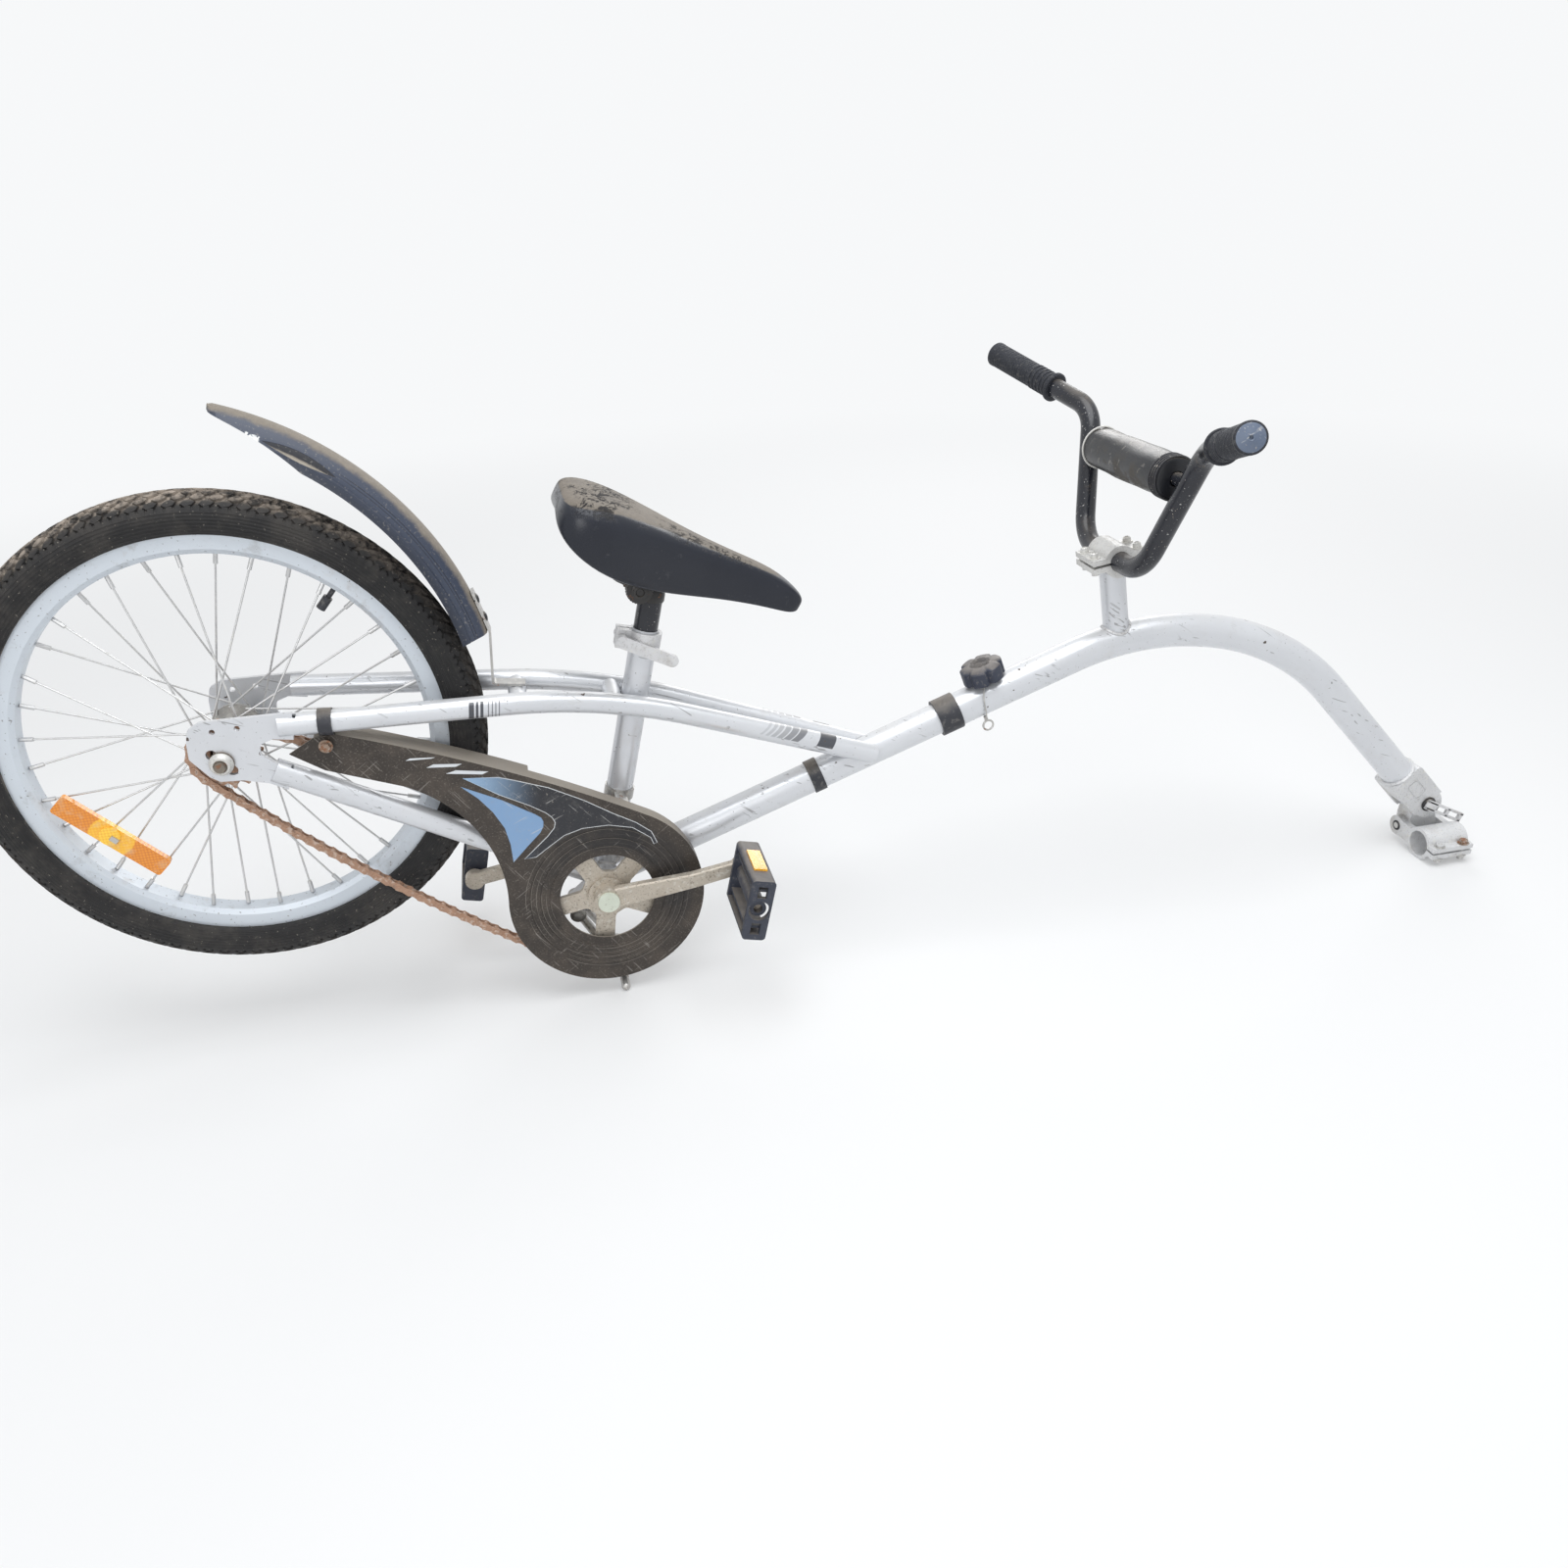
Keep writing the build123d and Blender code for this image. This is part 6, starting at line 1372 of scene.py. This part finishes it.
def pin_head():
    """The bright domed end of the link's pin in its dark ring, on the clamp's rear lobe."""
    seat = facing(HITCH_LEVEL.to_3x3() @ Vector((-1, 0, 0)), PIN_HEAD)
    bore = PIN_RADIUS - 0.4
    rim = PIN_RADIUS + 2.0
    ring = [(bore, 0.0), (rim, 0.0), (rim, 0.5), (bore, 0.9)]
    lathe("pin_ring", ring, 36, seat, BLACK_BOLT, "clamp")
    dome = [(0.0, 0.0), (bore - 0.1, 0.0), (bore - 0.2, 0.9), (PIN_RADIUS * 0.6, 1.9), (0.0, 2.3)]
    lathe("pin_head", dome, 36, seat, BOLT_STEEL, "clamp", closed=False)


def clamp_bolt_spot(share, lift):
    """A place on the axis of one of the seat-post clamp's bolts, by its share of the clamp's length."""
    along = CLAMP_REAR + share * CLAMP_LENGTH
    swing = radians(CLAMP_SWING)
    return HITCH_LEVEL @ Vector((along, BOLT_REACH * sin(swing), PIN_DROP + BOLT_REACH * cos(swing) + lift))


def fork_edge():
    """The cast fork's scalloped rear edge round the boom."""
    seat = facing(FORK_BACK, HITCH + FORK_BACK * FORK_REACH)
    ring = [seat @ Vector((x, y, 0.0)) for x, y in ring_points(36, FORK_EDGE_RADIUS)]
    piece("fork_edge", rod_mesh(ring, 2.3, closed=True, ripple=0.28), HITCH_ALLOY, "frame")


# Small fittings at the wheel
REFLECTOR_MIDDLE = Vector((-114.5, -21.3, -100.5))
REFLECTOR_TURN = -39.5
DROPOUT_FACE = -60.4


def wheel_fittings():
    """The cupped washer under the right axle nut, and the clip on the spoke reflector."""
    shell = [(6.6, 3.0), (11.4, 3.0), (11.4, 4.2), (10.6, 5.6), (8.6, 9.4), (6.6, 9.6)]
    seat = facing((0, -1, 0), (0.0, DROPOUT_FACE, 0.0))
    lathe("axle_washer", shell, 40, seat, PALE_BOLT, "frame")
    bm = bmesh.new()
    turned = facing((0, -1, 0), REFLECTOR_MIDDLE) @ Matrix.Rotation(radians(REFLECTOR_TURN), 4, "Z")
    block(bm, rectangle(-4.5, 4.5, -3.0, 3.0), 1.6, 0.85, turned @ Matrix.Translation((0, 0, -0.6)))
    tidy(bm)
    piece("reflector_clip", bm, BOLT_STEEL, "wheel")


# Small fasteners
def fastener(bm, place, way, radius, height, sides=6):
    """A bolt's head: a washer, then a six-sided or round head with an eased top."""
    seat = facing(way, place)
    washer = [(0.0, 0.0), (radius * 1.45, 0.0), (radius * 1.45, 0.9), (0.0, 0.9)]
    spin_ring(bm, washer, 28, seat, closed=False)
    if sides == 6:
        block(bm, ring_points(6, radius * 1.12), height, 0.9, seat @ Matrix.Translation((0, 0, 0.8)))
    else:
        dome = [(0.0, 0.9), (radius, 0.9), (radius, height * 0.5), (radius * 0.8, height * 0.85),
                (radius * 0.42, height), (radius * 0.42, height * 0.6), (0.0, height * 0.6)]
        spin_ring(bm, dome, 24, seat, closed=False)


LEVEL_UP = (HITCH_LEVEL.to_3x3() @ Vector((0, 0, 1))).normalized()
BAR_UP = (POST_TOP - POST_FOOT).normalized()
BAR_ALONG = Vector((BAR_UP.z, 0.0, -BAR_UP.x))
MUDGUARD_BOLT_WAYS = [Vector((cos(radians(angle)), 0.0, sin(radians(angle)))) for angle in (25.3, 21.6)]
MUDGUARD_MIDDLE = Vector((MUDGUARD_CENTRE[0], 0.0, MUDGUARD_CENTRE[1]))
# name, finish, slot, body, then each fastener: place, way out, radius, height, sides
FASTENERS = (
    ("mudguard_bolts", BLACK_BOLT, "black_plastic", "frame", [
        (MUDGUARD_MIDDLE + way * (MUDGUARD_RADIUS + 0.2), way, 5.6, 4.4, 0) for way in MUDGUARD_BOLT_WAYS]),
    ("strap_bolt", RUSTY_BOLT, "steel", "frame", [
        (Vector((94.7, -59.5, 17.0)), Vector((0, -1, 0)), 4.6, 4.0, 6)]),
    ("bar_clamp_bolts", PALE_BOLT, "cast_alloy", "frame", [
        (POST_TOP + BAR_ALONG * x + Vector((0.0, y, 0.0)) + BAR_UP * 7.5, BAR_UP, 4.5, 6.4, 0)
        for x in (-25.0, 25.0) for y in (-12.0, 12.0)]),
    ("clamp_rusty_bolt", RUSTY_BOLT, "cast_alloy", "clamp", [
        (clamp_bolt_spot(0.8, 7.5), LEVEL_UP, 4.9, 4.4, 6)]),
    ("clamp_pale_bolt", BOLT_STEEL, "cast_alloy", "clamp", [
        (clamp_bolt_spot(0.2, 7.5), LEVEL_UP, 4.6, 4.4, 0),
        (clamp_bolt_spot(0.2, -7.5), -LEVEL_UP, 4.1, 5.6, 6),
        (clamp_bolt_spot(0.8, -7.5), -LEVEL_UP, 4.1, 5.6, 6)]),
)


def fasteners():
    for name, finish, slot, body, rows in FASTENERS:
        bm = bmesh.new()
        for place, way, radius, height, sides in rows:
            fastener(bm, place, way, radius, height, sides)
        tidy(bm, 0.001)
        piece(name, bm, finish, body)


tyre()
chain()
saddle()
saddle_fittings()
crossbar_pad()
grips()
mudguard()
knob()
ring_pin()
guard_prints()
for row in WELDS:
    weld(*row)
skewer()
pin_head()
fork_edge()
wheel_fittings()
fasteners()

# Floor, light and camera. The camera's place and turn are in the bike's own frame, in metres and degrees.
FLOOR_SIZE = 60.0
WHITE = (0.93, 0.94, 0.95)
SEEN_RAYS = ("Is Camera Ray", "Is Glossy Ray", "Is Transmission Ray")
CAMERA_PLACE = (0.2391, -1.2490, 0.5261)
CAMERA_TURN = (65.68, -5.24, -12.53)
CAMERA_LENS = 29.0
LAMP_TARGET = (0.0, 0.0, 0.3)


def floor():
    """A pale floor that fades into the room's white away from the bike, without lighting it."""
    bm = bmesh.new()
    bmesh.ops.create_circle(bm, cap_ends=True, segments=96, radius=FLOOR_SIZE)
    mesh = bpy.data.meshes.new("floor")
    bm.to_mesh(mesh)
    bm.free()
    f = Finish("floor")
    tone = f.mottled((0.76, 0.765, 0.77), (0.78, 0.78, 0.78), 1.5, 2.0)
    f.surface(tone, 0.9)
    away = f.node("ShaderNodeVectorMath", "Value", {"operation": "LENGTH"}, {0: f.place})
    seen = 0.0
    for ray in SEEN_RAYS:
        seen = seen + f.node("ShaderNodeLightPath", ray)
    fade = f.step(away, 0.9, 3.6) * 0.72 + 0.28
    white = f.node("ShaderNodeEmission", 0, None, {"Color": WHITE, "Strength": 1.0})
    blend = f.node("ShaderNodeMixShader", 0, None, {0: seen * fade})
    f.tree.links.new(f.shader.outputs[0], blend.socket.node.inputs[1])
    f.tree.links.new(white.socket, blend.socket.node.inputs[2])
    f.tree.links.new(blend.socket, f.tree.nodes["Material Output"].inputs["Surface"])
    mesh.materials.append(f.material)
    made = bpy.data.objects.new("floor", mesh)
    bpy.context.scene.collection.objects.link(made)


def sky():
    """A pale room: the light that falls on the bike is softer than what is seen behind it."""
    world = bpy.data.worlds.new("room")
    world.use_nodes = True
    bpy.context.scene.world = world
    tree = world.node_tree
    background = tree.nodes["Background"]
    path = tree.nodes.new("ShaderNodeLightPath")
    seen = path.outputs[SEEN_RAYS[0]]
    for ray in SEEN_RAYS[1:]:
        either = tree.nodes.new("ShaderNodeMath")
        either.operation = "MAXIMUM"
        tree.links.new(seen, either.inputs[0])
        tree.links.new(path.outputs[ray], either.inputs[1])
        seen = either.outputs[0]
    strength = tree.nodes.new("ShaderNodeMix")
    strength.inputs[2].default_value = 0.55
    strength.inputs[3].default_value = 1.0
    tree.links.new(seen, strength.inputs[0])
    tree.links.new(strength.outputs[0], background.inputs["Strength"])
    background.inputs["Color"].default_value = (*WHITE, 1.0)


def lamp(name, place, size, power, colour=(1.0, 1.0, 1.0)):
    data = bpy.data.lights.new(name, "AREA")
    data.shape = "DISK"
    data.size = size
    data.energy = power
    data.color = colour
    made = bpy.data.objects.new(name, data)
    aim = Vector(LAMP_TARGET) - Vector(place)
    made.matrix_world = Matrix.Translation(place) @ aim.to_track_quat("-Z", "Y").to_matrix().to_4x4()
    bpy.context.scene.collection.objects.link(made)


def camera():
    """The photograph's camera, parked with the bike."""
    data = bpy.data.cameras.new("camera")
    data.lens = CAMERA_LENS
    data.sensor_width = 36.0
    made = bpy.data.objects.new("camera", data)
    turn = Euler([radians(angle) for angle in CAMERA_TURN]).to_matrix().to_4x4()
    made.matrix_world = PARK @ Matrix.Translation(CAMERA_PLACE) @ turn
    bpy.context.scene.collection.objects.link(made)
    bpy.context.scene.camera = made


floor()
sky()
lamp("overhead", (0.1, -0.5, 2.6), 2.4, 54.0, (0.97, 0.985, 1.0))
lamp("front", (-1.6, -2.6, 1.5), 1.6, 22.0)
lamp("back", (1.2, 2.6, 1.8), 1.8, 26.0)
camera()
bpy.context.scene.view_settings.view_transform = "Standard"
